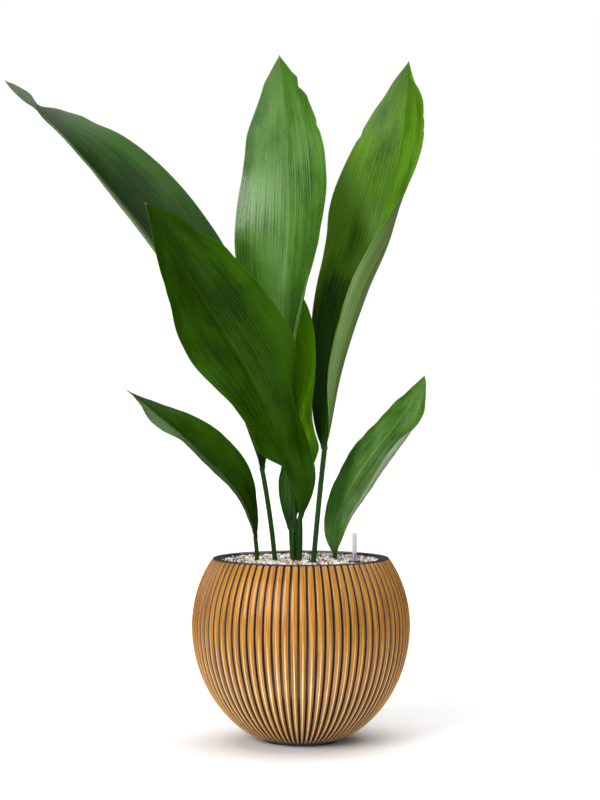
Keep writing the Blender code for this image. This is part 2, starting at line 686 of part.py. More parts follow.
def make_materials():
    return {
        "planter": material("planter", (0.30, 0.17, 0.05), 0.35, 0.6),
        "granules": material("granules", (0.62, 0.53, 0.46), 0.9),
        "rhizome": material("rhizome", (0.36, 0.24, 0.13), 0.85),
        "dry_sheath": material("dry_sheath", (0.30, 0.15, 0.07), 0.8),
        "young_sheath": material("young_sheath", (0.10, 0.22, 0.07), 0.6),
        "gauge_guide": material("gauge_guide", (0.55, 0.55, 0.55), 0.5),
        "gauge_collar": material("gauge_collar", (0.05, 0.05, 0.06), 0.5),
        "gauge_cap": material("gauge_cap", (0.72, 0.70, 0.72), 0.25),
        "gauge_sight": material("gauge_sight", (0.80, 0.82, 0.84), 0.1),
        "gauge_float": material("gauge_float", (0.85, 0.85, 0.83), 0.5),
        "gauge_tip": material("gauge_tip", (0.65, 0.05, 0.04), 0.4),
    }


def leaf_colour(index):
    """The leaves differ a little, from yellow green to blue green."""
    colours = ((0.045, 0.105, 0.045), (0.060, 0.130, 0.010), (0.110, 0.210, 0.095),
               (0.090, 0.190, 0.030), (0.070, 0.180, 0.010), (0.055, 0.125, 0.030),
               (0.075, 0.150, 0.055))
    return colours[index]


def main():
    clear_scene()
    mats = make_materials()
    planter(mats["planter"])
    sockets = [rhizome("rhizome_socket", None, FIT_GAP), gauge_socket()]
    for name, spec in LEAVES.items():
        wrap = DRY_SHEATH_THICKNESS + DRY_SHEATH_GAP if name == DRY_SHEATH_LEAF else 0.0
        radius = spec["stalk_radius"] + SOCKET_GAP + wrap
        sockets.append(stalk_socket(name + "_socket", Path(spec["midrib"]), radius))
    sheath_hole = YOUNG_SHEATH_RADIUS + FIT_GAP
    sockets.append(stalk_socket("sheath_socket", Path(YOUNG_SHEATH_ROUTE), sheath_hole))
    granule_bed(mats["granules"], sockets)
    rhizome("rhizome", mats["rhizome"])
    for index, name in enumerate(LEAVES):
        leaf(name, material(name, leaf_colour(index), 0.45))
    dry_sheath(mats["dry_sheath"])
    young_sheath(mats["young_sheath"])
    gauge_fixed_parts(mats)
    gauge_float(mats)


main()
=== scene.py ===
import math
import random

import bmesh
import bpy
import numpy as np
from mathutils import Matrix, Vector


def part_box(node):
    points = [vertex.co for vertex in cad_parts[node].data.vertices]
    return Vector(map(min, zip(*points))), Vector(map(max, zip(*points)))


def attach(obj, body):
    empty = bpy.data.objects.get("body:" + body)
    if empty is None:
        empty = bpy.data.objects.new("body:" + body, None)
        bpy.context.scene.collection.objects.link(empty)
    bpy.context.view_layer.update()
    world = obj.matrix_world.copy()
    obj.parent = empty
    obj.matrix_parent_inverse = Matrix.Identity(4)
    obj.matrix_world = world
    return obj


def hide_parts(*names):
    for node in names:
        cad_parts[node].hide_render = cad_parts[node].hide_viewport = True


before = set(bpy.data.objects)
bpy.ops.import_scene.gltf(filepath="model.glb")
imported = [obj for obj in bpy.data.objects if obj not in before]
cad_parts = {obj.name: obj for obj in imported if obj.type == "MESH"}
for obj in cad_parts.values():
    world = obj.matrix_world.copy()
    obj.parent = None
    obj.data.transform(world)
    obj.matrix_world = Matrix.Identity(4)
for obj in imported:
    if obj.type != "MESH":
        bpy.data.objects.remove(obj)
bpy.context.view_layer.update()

# Looks of a potted cast iron plant in a ribbed ball planter with a water gauge.
# Shape tables hold millimetres and degrees, +Z is up and the plant's front faces -Y.
MM = 0.001
PLANT = "potted_plant"
FLOAT = "gauge_float"

# ---------------------------------------------------------------- planter
BELLY_RADIUS = 144.8
BELLY_LEVEL = 152.8
LOWER_HALF_HEIGHT = 163.1
UPPER_HALF_HEIGHT = 151.7
RIM_TOP = 242.4
RIM_INNER_RADIUS = 107.0
WALL = 9.8
FLOOR_TOP = 10.0
RIB_COUNT = 79
RIB_HEIGHT = 4.0
FIRST_RIB_ANGLE = math.radians(-89)
RIB_END = 241.3
PAINTED_HIGHLIGHT_REACH = 0.10            # share of the pitch, from a rib's middle, that carries a painted highlight
SHOULDER_HEIGHT = 0.70        # share of a rib's height where its shoulder meets the groove
# Half a rib, from its middle to its edge: (place, share of its height, gold) where it is flat,
# then the heights at the same places, and how much its crest rises, where it is round.
FLAT_RIB = ((0.14, 1.0, 1.0), (0.42, 0.985, 1.0), (0.70, 0.95, 1.0), (0.86, 0.89, 0.80),
            (1.0, SHOULDER_HEIGHT, 0.0))
ROUND_RIB_HEIGHTS = (0.98, 0.94, 0.84, 0.75, 0.58)
ROUND_RIB_CREST = 0.05
# At levels up the planter: half a groove's width as a share of the pitch, and the ribs' roundness.
GROOVE_WIDTHS = ((0, 30, 90, 150, 215, 240), (0.2, 0.16, 0.115, 0.10, 0.11, 0.12))
ROUNDNESS = ((110, 190), (1.0, 0.35))
# How strong the painted highlight down each rib's middle is, at levels up the planter.
PAINTED_HIGHLIGHT_STRENGTH = ((90, 190), (1.0, 0.15))

# ---------------------------------------------------------------- bed
BED_TOP = 235.6
FOOT_LEVEL = 210.0

# ---------------------------------------------------------------- leaves
BLADE_THICKNESS = 0.62
MARGIN_THICKNESS = 0.32
LEAVES = {
    "leaf_far_left": dict(
        midrib=((-32, 0, FOOT_LEVEL), (-41, 4, 294), (-60, 16, 394), (-119, 46, 547),
                (-203, 64, 674), (-289, 68, 775), (-356, 58, 845), (-401, 42, 884)),
        petiole=150, stalk_radius=3.2, half_width=78, widest=0.545, fullness=1.3,
        point=0.02, necks=((0.916, 0.66, 0.022),),
        left=(80, 80, 79, 78, 76, 77, 83, 84, 70),
        left_edge=(80, 80, 86, 96, 104, 104, 97, 84, 70),
        right=(-50, -47, -32, -16, -6, -3, -16, -56, -60),
        right_edge=(-55, -52, -38, -22, -12, -9, -24, -64, -60),
        edges=(("right", 0.845, -7.0, 0.024), ("right", 0.955, 3.0, 0.022),
               ("left", 0.860, 4.0, 0.030), ("left", 0.950, 3.0, 0.020))),
    "leaf_front_broad": dict(
        midrib=((-4.5, -6, FOOT_LEVEL), (-4, -18, 313), (-22, -36, 380), (-66, -62, 482),
                (-129, -92, 587), (-179, -118, 668), (-197, -130, 701)),
        petiole=84, stalk_radius=3.5, half_width=78, widest=0.52, fullness=1.5,
        point=0.015, late={"left": 0.165},
        left=(-20, 20, 82, 60, 62, 59, 49, 41, 43, 50, 56, 64, 80),
        left_edge=(-20, 20, 86, 70, 72, 67, 58, 49, 51, 58, 63, 70, 82),
        right=(-40, -20, -40, -30, -5, 0, -2, 0, 4, -3, -12, -18, -20),
        right_edge=(-42, -24, -50, -95, -140, -62, -20, -18, -18, -22, -26, -26, -25),
        edges=(("left", 0.80, 1.0, 0.015), ("left", 0.66, -1.5, 0.04),
               ("right", 0.86, 3.0, 0.02), ("right", 0.78, -2.5, 0.03),
               ("right", 0.93, -3.0, 0.015))),
    "leaf_centre_tall": dict(
        midrib=((-3.5, 2, FOOT_LEVEL), (-10.6, 7, 332), (-19, 21, 452), (-23, 26, 585),
                (-17, 27, 693), (-19, 28, 801), (-29, 22, 915)),
        petiole=208, stalk_radius=3.0, half_width=74, widest=0.54, fullness=1.7,
        point=0.012,
        left=(-50, -40, -30, -5, -14, -16, -22),
        left_edge=(-60, -50, -40, -10, -26, -28, -30),
        right=(65, 60, 40, 42, 34, 28, 40),
        right_edge=(110, 120, 120, 75, 55, 50, 55),
        edges=(("right", 0.908, 4.0, 0.009), ("right", 0.935, -3.0, 0.009),
               ("right", 0.88, -1.5, 0.010), ("right", 0.80, 2.4, 0.010),
               ("right", 0.54, 3.0, 0.06), ("left", 0.80, -3.5, 0.05),
               ("left", 0.93, -1.5, 0.02))),
    "leaf_right_tall": dict(
        midrib=((14, -36, FOOT_LEVEL), (22, -24, 300), (32, 0, 392), (44, 24, 492),
                (73, 44, 601), (109, 56, 690), (137, 64, 807), (147, 59, 914)),
        petiole=180, stalk_radius=3.4, half_width=84, widest=0.55, fullness=1.4,
        point=0.04,
        left=(-45, -55, -49, -38, 0, -10, -28),
        left_edge=(-45, -57, -52, -41, -6, -18, -30),
        right=(60, 51, 47, 51, 66, 54, 50),
        right_edge=(90, 218, 235, 188, 95, 70, 60),
        edges=(("right", 0.960, 11.0, 0.022), ("right", 0.900, -2.0, 0.020),
               ("right", 0.86, 1.4, 0.006), ("right", 0.825, 1.8, 0.006),
               ("left", 0.80, 2.0, 0.012), ("left", 0.91, 2.0, 0.03))),
    "leaf_back_centre": dict(
        midrib=((-9, 8, FOOT_LEVEL), (-14, 15, 291), (-12, 22, 351), (-3, 23, 432),
                (0, 28, 519), (-5, 38, 600)),
        petiole=68, stalk_radius=2.6, half_width=34, widest=0.55, fullness=1.3,
        point=0.015,
        left=(-30, -32, -60, -50, -45, -40, -40),
        left_edge=(-32, -40, -65, -60, -55, -50, -50),
        right=(-30, -30, 26, 56, 50, 40, 34),
        right_edge=(-30, -30, 32, 62, 58, 46, 38),
        edges=(("right", 0.36, -8.0, 0.055), ("right", 0.52, 1.5, 0.012),
               ("right", 0.55, 1.2, 0.008), ("left", 0.25, 2.0, 0.03))),
    "leaf_low_left": dict(
        midrib=((-59, -6, FOOT_LEVEL), (-62.5, -8, 279), (-78, -12, 322), (-128.5, -26, 380.5),
                (-174.5, -38, 423.5), (-228, -46, 465)),
        petiole=58, stalk_radius=2.8, half_width=42, widest=0.5, fullness=1.5,
        point=0.06,
        left=(82, 84, 83, 82, 79, 54, 95),
        left_edge=(82, 84, 83, 82, 82, 60, 95),
        right=(-60, -52, -24, -20, -38, -60, -78),
        right_edge=(-60, -52, -28, -24, -42, -62, -78),
        edges=(("right", 0.82, 1.0, 0.02), ("right", 0.87, -1.0, 0.015),
               ("left", 0.90, 3.0, 0.025), ("left", 0.66, 2.0, 0.03))),
    "leaf_low_right": dict(
        midrib=((46, 17, FOOT_LEVEL), (46, 17, 253), (58, 16, 317), (87, 12, 368),
                (122, 4, 413), (146, -4, 448), (164, -10, 484)),
        petiole=38, stalk_radius=3.1, half_width=43, widest=0.5, fullness=1.3,
        point=0.015,
        left=(-20, -46, -54, -52, -55, -58, -68),
        left_edge=(-20, -54, -62, -60, -61, -62, -72),
        right=(50, 24, -10, -10, -10, 24, 40),
        right_edge=(90, 150, 170, 185, 190, 60, 50),
        edges=(("left", 0.80, -2.0, 0.03), ("left", 0.55, 1.2, 0.02),
               ("right", 0.90, 2.0, 0.03), ("right", 0.94, 1.5, 0.02))),
}
POINT_SHARPNESS = 0.8
LATE_SHARPNESS = 6
LATE_LEAST = 0.05
TIP_END_SIZE = 0.25
HALF_COLUMNS = 30
ROW_STEP = 3.0
PLEATS = 6
PLEAT_DEPTH = 0.22
WAVE_HEIGHT = 0.9
KEEL_DEPTH = 0.7              # of the stalk's radius, as is the channel's depth
CHANNEL_DEPTH = 0.22
LEAST_HALF_WIDTH = 0.25
VEINS = 17.0


# ---------------------------------------------------------------- mesh helpers
def make_mesh(name, verts, faces, mats, smooth_angle=40.0, face_mats=None, attributes=None):
    """A piece from points in millimetres, facing out, with point attributes for its material."""
    mesh = bpy.data.meshes.new(name)
    mesh.from_pydata((np.asarray(verts, float) * MM).tolist(), [], [list(f) for f in faces])
    for mat in mats:
        mesh.materials.append(mat)
    if face_mats is not None:
        mesh.polygons.foreach_set("material_index", np.asarray(face_mats, np.int32))
    for key, values in (attributes or {}).items():
        layer = mesh.attributes.new(key, "FLOAT", "POINT")
        layer.data.foreach_set("value", np.asarray(values, np.float32))
    bm = bmesh.new()
    bm.from_mesh(mesh)
    bmesh.ops.recalc_face_normals(bm, faces=bm.faces)
    bm.to_mesh(mesh)
    bm.free()
    mesh.shade_smooth()
    mesh.set_sharp_from_angle(angle=math.radians(smooth_angle))
    obj = bpy.data.objects.new(name, mesh)
    bpy.context.scene.collection.objects.link(obj)
    return obj


def ring_faces(rows, count, start=0):
    """Quads through rows of points, each row closed into a ring."""
    base = start + np.arange(rows - 1)[:, None] * count
    here = base + np.arange(count)
    there = base + (np.arange(count) + 1) % count
    quads = np.stack([here, there, there + count, here + count], axis=-1)
    return quads.reshape(-1, 4).tolist()


def tube_faces(rows, count, start=0):
    """The faces of a tube through rows of points, with one face at each end."""
    last = start + (rows - 1) * count
    return ([list(range(start, start + count))] + ring_faces(rows, count, start)
            + [list(range(last, last + count))])


def finish_piece(obj, body, slot, *nodes):
    """Put a piece on its body, in the place of the CAD nodes that it shows; slot is not used."""
    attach(obj, body)
    if nodes:
        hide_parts(*nodes)
    return obj


# ---------------------------------------------------------------- node helpers
class Nodes:
    """A material's node tree, with short calls for the nodes that recur."""

    def __init__(self, name):
        self.mat = bpy.data.materials.new(name)
        self.mat.use_nodes = True
        self.tree = self.mat.node_tree
        self.shader = self.tree.nodes["Principled BSDF"]

    def add(self, kind, inputs=None, **settings):
        made = self.tree.nodes.new(kind)
        for key, value in settings.items():
            setattr(made, key, value)
        for key, value in (inputs or {}).items():
            self.put(made.inputs[key], value)
        return made

    def put(self, socket, value):
        if isinstance(value, bpy.types.NodeSocket):
            self.tree.links.new(value, socket)
        elif socket.type == "RGBA" and len(value) == 3:
            socket.default_value = (*value, 1.0)
        else:
            socket.default_value = value

    def set(self, **inputs):
        for key, value in inputs.items():
            self.put(self.shader.inputs[key.replace("_", " ")], value)

    def attribute(self, name):
        return self.add("ShaderNodeAttribute", attribute_name=name).outputs["Fac"]

    def math(self, operation, a, b=0.0):
        return self.add("ShaderNodeMath", {0: a, 1: b}, operation=operation).outputs[0]

    def times(self, first, *others):
        for other in others:
            first = self.math("MULTIPLY", first, other)
        return first

    def plus(self, first, *others):
        for other in others:
            first = self.math("ADD", first, other)
        return first

    def centred(self, value, scale):
        """value, which is about a half, moved to swing about zero and scaled."""
        return self.times(self.math("SUBTRACT", value, 0.5), scale)

    def calmed(self, value, share):
        """value, which swings about a half, with a share of its swing."""
        return self.plus(0.5, self.centred(value, share))

    def combine(self, x, y, z):
        return self.add("ShaderNodeCombineXYZ", {0: x, 1: y, 2: z}).outputs[0]

    def place(self):
        return self.add("ShaderNodeTexCoord").outputs["Object"]

    def noise(self, vector, scale, detail=3.0, rough=0.55):
        made = self.add("ShaderNodeTexNoise", {"Vector": vector, "Scale": scale,
                                               "Detail": detail, "Roughness": rough})
        return made.outputs["Fac"]

    def stretched(self, across, along, third=0.0, scale=1.0, detail=3.0, rough=0.55):
        """Noise drawn out over a surface; across and along are (coordinate, how fine)."""
        vector = self.combine(self.times(*across), self.times(*along), third)
        return self.noise(vector, scale, detail, rough)

    def span(self, value, low, high, to_low=0.0, to_high=1.0):
        """value from low..high moved to to_low..to_high, clamped and smooth."""
        made = self.add("ShaderNodeMapRange", interpolation_type="SMOOTHSTEP")
        for key, number in enumerate((value, low, high, to_low, to_high)):
            self.put(made.inputs[key], number)
        return made.outputs[0]

    def mix(self, factor, a, b):
        made = self.add("ShaderNodeMix", data_type="RGBA")
        self.put(made.inputs[0], factor)
        self.put(made.inputs[6], a)
        self.put(made.inputs[7], b)
        return made.outputs[2]

    def tint(self, base, colour, value, low, high, start=0.0, end=1.0):
        """base mixed with start..end of colour as value goes from low to high."""
        return self.mix(self.span(value, low, high, start, end), base, colour)

    def bump(self, height, distance, strength=1.0):
        made = self.add("ShaderNodeBump", {"Height": height, "Distance": distance,
                                           "Strength": strength})
        return made.outputs[0]


def scaled(colour, factor):
    return tuple(factor * c for c in colour)


def dress(node, mat):
    """Give a CAD node that stays in view its material."""
    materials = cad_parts[node].data.materials
    materials.clear()
    materials.append(mat)


# ---------------------------------------------------------------- curves
def smooth_values(stations, values, wanted):
    """A smooth curve through values at stations, read at the wanted places."""
    stations = np.asarray(stations, float)
    values = np.asarray(values, float)
    if values.ndim == 1:
        return smooth_values(stations, values[:, None], wanted)[:, 0]
    steps = np.diff(stations)
    slopes = np.diff(values, axis=0) / steps[:, None]
    before, after = steps[:-1, None], steps[1:, None]
    tangents = np.empty_like(values)
    tangents[1:-1] = (slopes[:-1] * after + slopes[1:] * before) / (before + after)
    tangents[0] = (3 * slopes[0] - tangents[1]) / 2
    tangents[-1] = (3 * slopes[-1] - tangents[-2]) / 2
    span = np.clip(np.searchsorted(stations, wanted) - 1, 0, len(steps) - 1)
    width = steps[span][:, None]
    t = (np.asarray(wanted)[:, None] - stations[span][:, None]) / width
    start, end = values[span], values[span + 1]
    return ((2 * t**3 - 3 * t**2 + 1) * start + (t**3 - 2 * t**2 + t) * width * tangents[span]
            + (3 * t**2 - 2 * t**3) * end + (t**3 - t**2) * width * tangents[span + 1])


class Path:
    """A smooth route through a few points, read by the distance along it."""

    SAMPLES = 600

    def __init__(self, points):
        points = np.asarray(points, float)
        chords = np.linalg.norm(np.diff(points, axis=0), axis=1)
        stations = np.concatenate([[0], np.cumsum(chords)])
        self.points = smooth_values(stations, points, np.linspace(0, stations[-1], self.SAMPLES))
        lengths = np.linalg.norm(np.diff(self.points, axis=0), axis=1)
        self.distance = np.concatenate([[0], np.cumsum(lengths)])
        self.length = self.distance[-1]
        tangents = np.gradient(self.points, axis=0)
        self.tangents = tangents / np.linalg.norm(tangents, axis=1)[:, None]

    def at(self, distances):
        """Points and directions at distances along the route, as two arrays."""
        read = [np.stack([np.interp(distances, self.distance, table[:, k]) for k in range(3)], -1)
                for table in (self.points, self.tangents)]
        return read[0], read[1] / np.linalg.norm(read[1], axis=-1, keepdims=True)


def side_and_front(tangents):
    """The two directions across a route: to its right and to the plant's front."""
    side = np.cross(tangents, (0.0, -1.0, 0.0))
    side /= np.linalg.norm(side, axis=-1, keepdims=True)
    return side, np.cross(side, tangents)


# ---------------------------------------------------------------- planter
def ball_radius(level):
    half = LOWER_HALF_HEIGHT if level < BELLY_LEVEL else UPPER_HALF_HEIGHT
    return BELLY_RADIUS * math.sqrt(1 - ((level - BELLY_LEVEL) / half) ** 2)


def rib_profile(level):
    """One rib and its groove: (place across the pitch, share of the rib's height, gold)."""
    groove = float(np.interp(level, *GROOVE_WIDTHS))
    roundness = float(np.interp(level, *ROUNDNESS))
    crest = 0.5 - groove
    half = [(u, h + roundness * (low - h), gold)
            for (u, h, gold), low in zip(FLAT_RIB, ROUND_RIB_HEIGHTS)]
    middle = [(0.0, 1 + ROUND_RIB_CREST * roundness, 1.0)]
    top = [(-u, h, gold) for u, h, gold in reversed(half)] + middle + half
    flank = [(-0.5 + 0.40 * groove, 0.03, 0.0), (-0.5 + 0.80 * groove, 0.45, 0.0)]
    return ([(-0.5, 0.0, 0.0)] + flank + [(crest * u, h, gold) for u, h, gold in top]
            + [(-place, h, gold) for place, h, gold in reversed(flank)])


def outer_levels():
    """(radius, level, how far the ribs stand out) from the base to the ribs' tops."""
    rows = [(ball_radius(0) - 7, 0.0, 0.0), (ball_radius(0) - 1.6, 0.0, 0.0),
            (ball_radius(0) - 0.5, 0.35, 0.0), (ball_radius(1.2), 1.2, 0.0)]
    for level in (2.5, 4.0, 6.0, 8.5):
        rows.append((ball_radius(level), level, (level - 1.2) / 9))
    for level in np.linspace(11.5, 236.0, 46):
        rows.append((ball_radius(level), float(level), 1.0))
    for level, rib in ((238.8, 1.0), (240.0, 0.95), (240.7, 0.80), (241.1, 0.5), (RIB_END, 0.1)):
        rows.append((ball_radius(level), level, rib))
    return rows


def rim_profile():
    """(radius, level) of the rounded lip and the inside of the wall."""
    lip = ball_radius(RIM_TOP)
    rows = [(lip - 0.6, 241.45), (lip - 0.1, 241.6), (lip + 0.1, 241.8), (lip - 0.1, 242.05),
            (lip - 0.6, 242.25), (lip - 1.4, 242.37), (lip - 3.0, RIM_TOP)]
    inner = RIM_INNER_RADIUS
    rows += [(inner + 3.4, RIM_TOP), (inner + 1.8, 242.2), (inner + 0.7, 241.6),
             (inner + 0.1, 240.6), (inner, 239.3)]
    for level in (236, 226, 200, BELLY_LEVEL, 85, 35, FLOOR_TOP + 2):
        rows.append((ball_radius(level) - WALL, level))
    rows.append((ball_radius(FLOOR_TOP) - WALL - 3, FLOOR_TOP))
    return rows


def planter():
    """The ribbed ball shell: gold crests, dark grooves, a dark rounded lip and its inside."""
    pitch = 2 * math.pi / RIB_COUNT
    plain = (0.0, 1.0, 0.0, 0.0)
    verts, marks = [], []
    for radius, level, rib in outer_levels():
        profile = rib_profile(level)
        fade = np.interp(level, (2.0, 9.0, RIB_END - 0.4, RIB_END), (0.0, 1.0, 1.0, 0.0))
        highlight_strength = np.interp(level, *PAINTED_HIGHLIGHT_STRENGTH)
        angles = [FIRST_RIB_ANGLE + pitch * (i + place) for i in range(RIB_COUNT)
                  for place, _, _ in profile]
        for angle, (place, height, paint) in zip(angles, profile * RIB_COUNT):
            r = radius - RIB_HEIGHT * (1 - rib * height) if level >= 1.0 else radius
            verts.append((r * math.cos(angle), r * math.sin(angle), level))
            # deep marks the grooves' bottoms, which the material darkens as painted shade.
            deep = max(0.0, 1 - height / SHOULDER_HEIGHT)
            # A line down each rib's middle, fading up the planter, where the material paints a
            # highlight.
            painted_highlight = np.interp(abs(place), (0.0, PAINTED_HIGHLIGHT_REACH), (1.0, 0.0))
            marks.append((paint * fade, 0.0, deep * fade, painted_highlight * fade * highlight_strength))
    columns = len(angles)
    for radius, level in rim_profile():
        verts += [(radius * math.cos(a), radius * math.sin(a), level) for a in angles]
        marks += [plain] * columns
    rows = len(verts) // columns
    faces = ring_faces(rows, columns)
    for level, first in ((0, 0), (FLOOR_TOP, (rows - 1) * columns)):
        faces += [(first + i, first + (i + 1) % columns, len(verts)) for i in range(columns)]
        verts.append((0, 0, level))
        marks.append(plain)
    obj = make_mesh("planter_shell", verts, faces, [planter_material()], 50,
                    attributes=dict(zip(("gold", "rim", "deep", "painted_highlight"), np.transpose(marks))))
    return finish_piece(obj, PLANT, "planter", "planter")


def planter_material():
    """Satin gold, brushed lengthwise and worn at the crests' edges, with a painted highlight down each
    rib's middle, over a blue-black shell that is partly lightened on the flanks as painted sheen and
    darkened in the grooves' bottoms as painted shade.
    """
    n = Nodes("planter_gold_over_black")
    place = n.place()
    split = n.add("ShaderNodeSeparateXYZ", {0: place})
    height = split.outputs[2]
    angle = n.math("ARCTAN2", split.outputs[1], split.outputs[0])

    def drawn(fine_round, fine_up, detail=3.0, rough=0.55):
        vector = n.combine(n.times(angle, fine_round), 0.0, n.times(height, fine_up))
        return n.noise(vector, 1.0, detail, rough)

    grain = drawn(130.0, 14.0, rough=0.6)
    broad = n.noise(place, 14.0, 2.0)
    fleck = n.noise(place, 900.0, 2.0)
    wear = n.centred(drawn(60.0, 160.0), 0.6)
    mask = n.span(n.plus(n.attribute("gold"), wear), 0.45, 0.70)
    tone = n.tint((0.27, 0.098, 0.008), (0.62, 0.270, 0.024), grain, 0.34, 0.66)
    tone = n.tint(tone, (0.26, 0.115, 0.020), broad, 0.3, 0.7, 0.0, 0.25)
    tone = n.tint(tone, (0.72, 0.42, 0.12), fleck, 0.50, 0.78, 0.0, 0.30)
    # The paler line down each rib's middle is a painted highlight.
    tone = n.tint(tone, (0.95, 0.74, 0.44), n.attribute("painted_highlight"), 0.15, 0.7, 0.0, 0.95)
    # The flanks' slate is the shell's blue-black paint lightened in part as a painted sheen, and the
    # grooves' bottoms are the same paint darkened as painted shade.
    slate_painted_sheen = n.tint((0.046, 0.048, 0.072), (0.088, 0.090, 0.130), fleck, 0.3, 0.7)
    groove = n.tint((0.008, 0.010, 0.017), (0.020, 0.023, 0.036), fleck, 0.3, 0.7)
    shell = n.tint(slate_painted_sheen, groove, n.attribute("deep"), 0.15, 0.65)
    lip = n.tint((0.018, 0.017, 0.022), (0.060, 0.056, 0.070), drawn(30.0, 400.0, 4.0), 0.3, 0.7)
    shell = n.mix(n.attribute("rim"), shell, lip)
    tangent = n.add("ShaderNodeTangent", direction_type="RADIAL", axis="Z")
    n.set(Base_Color=n.mix(mask, shell, tone), Metallic=n.times(mask, 0.12),
          Roughness=n.span(grain, 0.2, 0.8, 0.30, 0.42), Specular_IOR_Level=0.2,
          Anisotropic=0.5, Anisotropic_Rotation=0.25, Tangent=tangent.outputs[0],
          Coat_Weight=n.span(mask, 0.0, 1.0, 0.8, 0.25), Coat_Roughness=0.07,
          Normal=n.bump(n.plus(n.times(mask, 0.5), n.times(grain, 0.5)), 0.0002))
    return n.mat


# ---------------------------------------------------------------- leaves
def blade_widths(leaf, shares):
    widest = leaf["widest"]
    inside = np.clip(shares, 0.0, 1.0)
    rise = (inside / widest) ** widest
    fall = ((1 - inside) / (1 - widest)) ** (1 - widest)
    width = leaf["half_width"] * (rise * fall) ** leaf["fullness"]
    width *= ((1 - inside) / (1 - inside + leaf["point"])) ** POINT_SHARPNESS
    for place, depth, spread in leaf.get("necks", ()):
        width *= 1 - depth * np.exp(-((inside - place) / spread) ** 2)
    return width


def half_reach(leaf, half, shares):
    """How much of its full width a half blade has at each share of the blade's length."""
    start = leaf.get("late", {}).get(half)
    if start is None:
        return np.ones_like(shares)
    return np.maximum(LATE_LEAST, 1 - np.exp(-((shares / start) ** LATE_SHARPNESS)))


def half_curve(turn, edge, across):
    """The bent line of a half blade at every station: x, y and slope for each share across."""
    fine = np.linspace(0, 1, 49)
    angle = turn[:, None] + (edge - turn)[:, None] * fine**2
    step = np.diff(fine)
    lines = []
    for values in (np.cos(angle), np.sin(angle)):
        middle = 0.5 * (values[:, 1:] + values[:, :-1]) * step
        total = np.concatenate([np.zeros((len(turn), 1)), np.cumsum(middle, axis=1)], axis=1)
        lines.append(np.stack([np.interp(across, fine, row) for row in total]))
    slope = turn[:, None] + (edge - turn)[:, None] * across**2
    return lines[0], lines[1], slope


def turn_angles(leaf, shares):
    angles = {}
    for half in ("left", "right"):
        for key in (half, half + "_edge"):
            values = leaf[key]
            stations = np.linspace(0, 1, len(values))
            angles[key] = np.radians(smooth_values(stations, values, np.clip(shares, 0, 1)))
    return angles


def wavy(shares, seed, waves):
    """A smooth line of small irregular waves along a leaf, about -1 to 1."""
    rng = random.Random(seed)
    total = np.zeros_like(shares)
    for k in range(5):
        total += rng.uniform(0.3, 1.0) * np.sin(
            2 * math.pi * (waves * (0.5 + 0.45 * k) * shares + rng.random())) / (1 + 0.4 * k)
    return total / 2.2


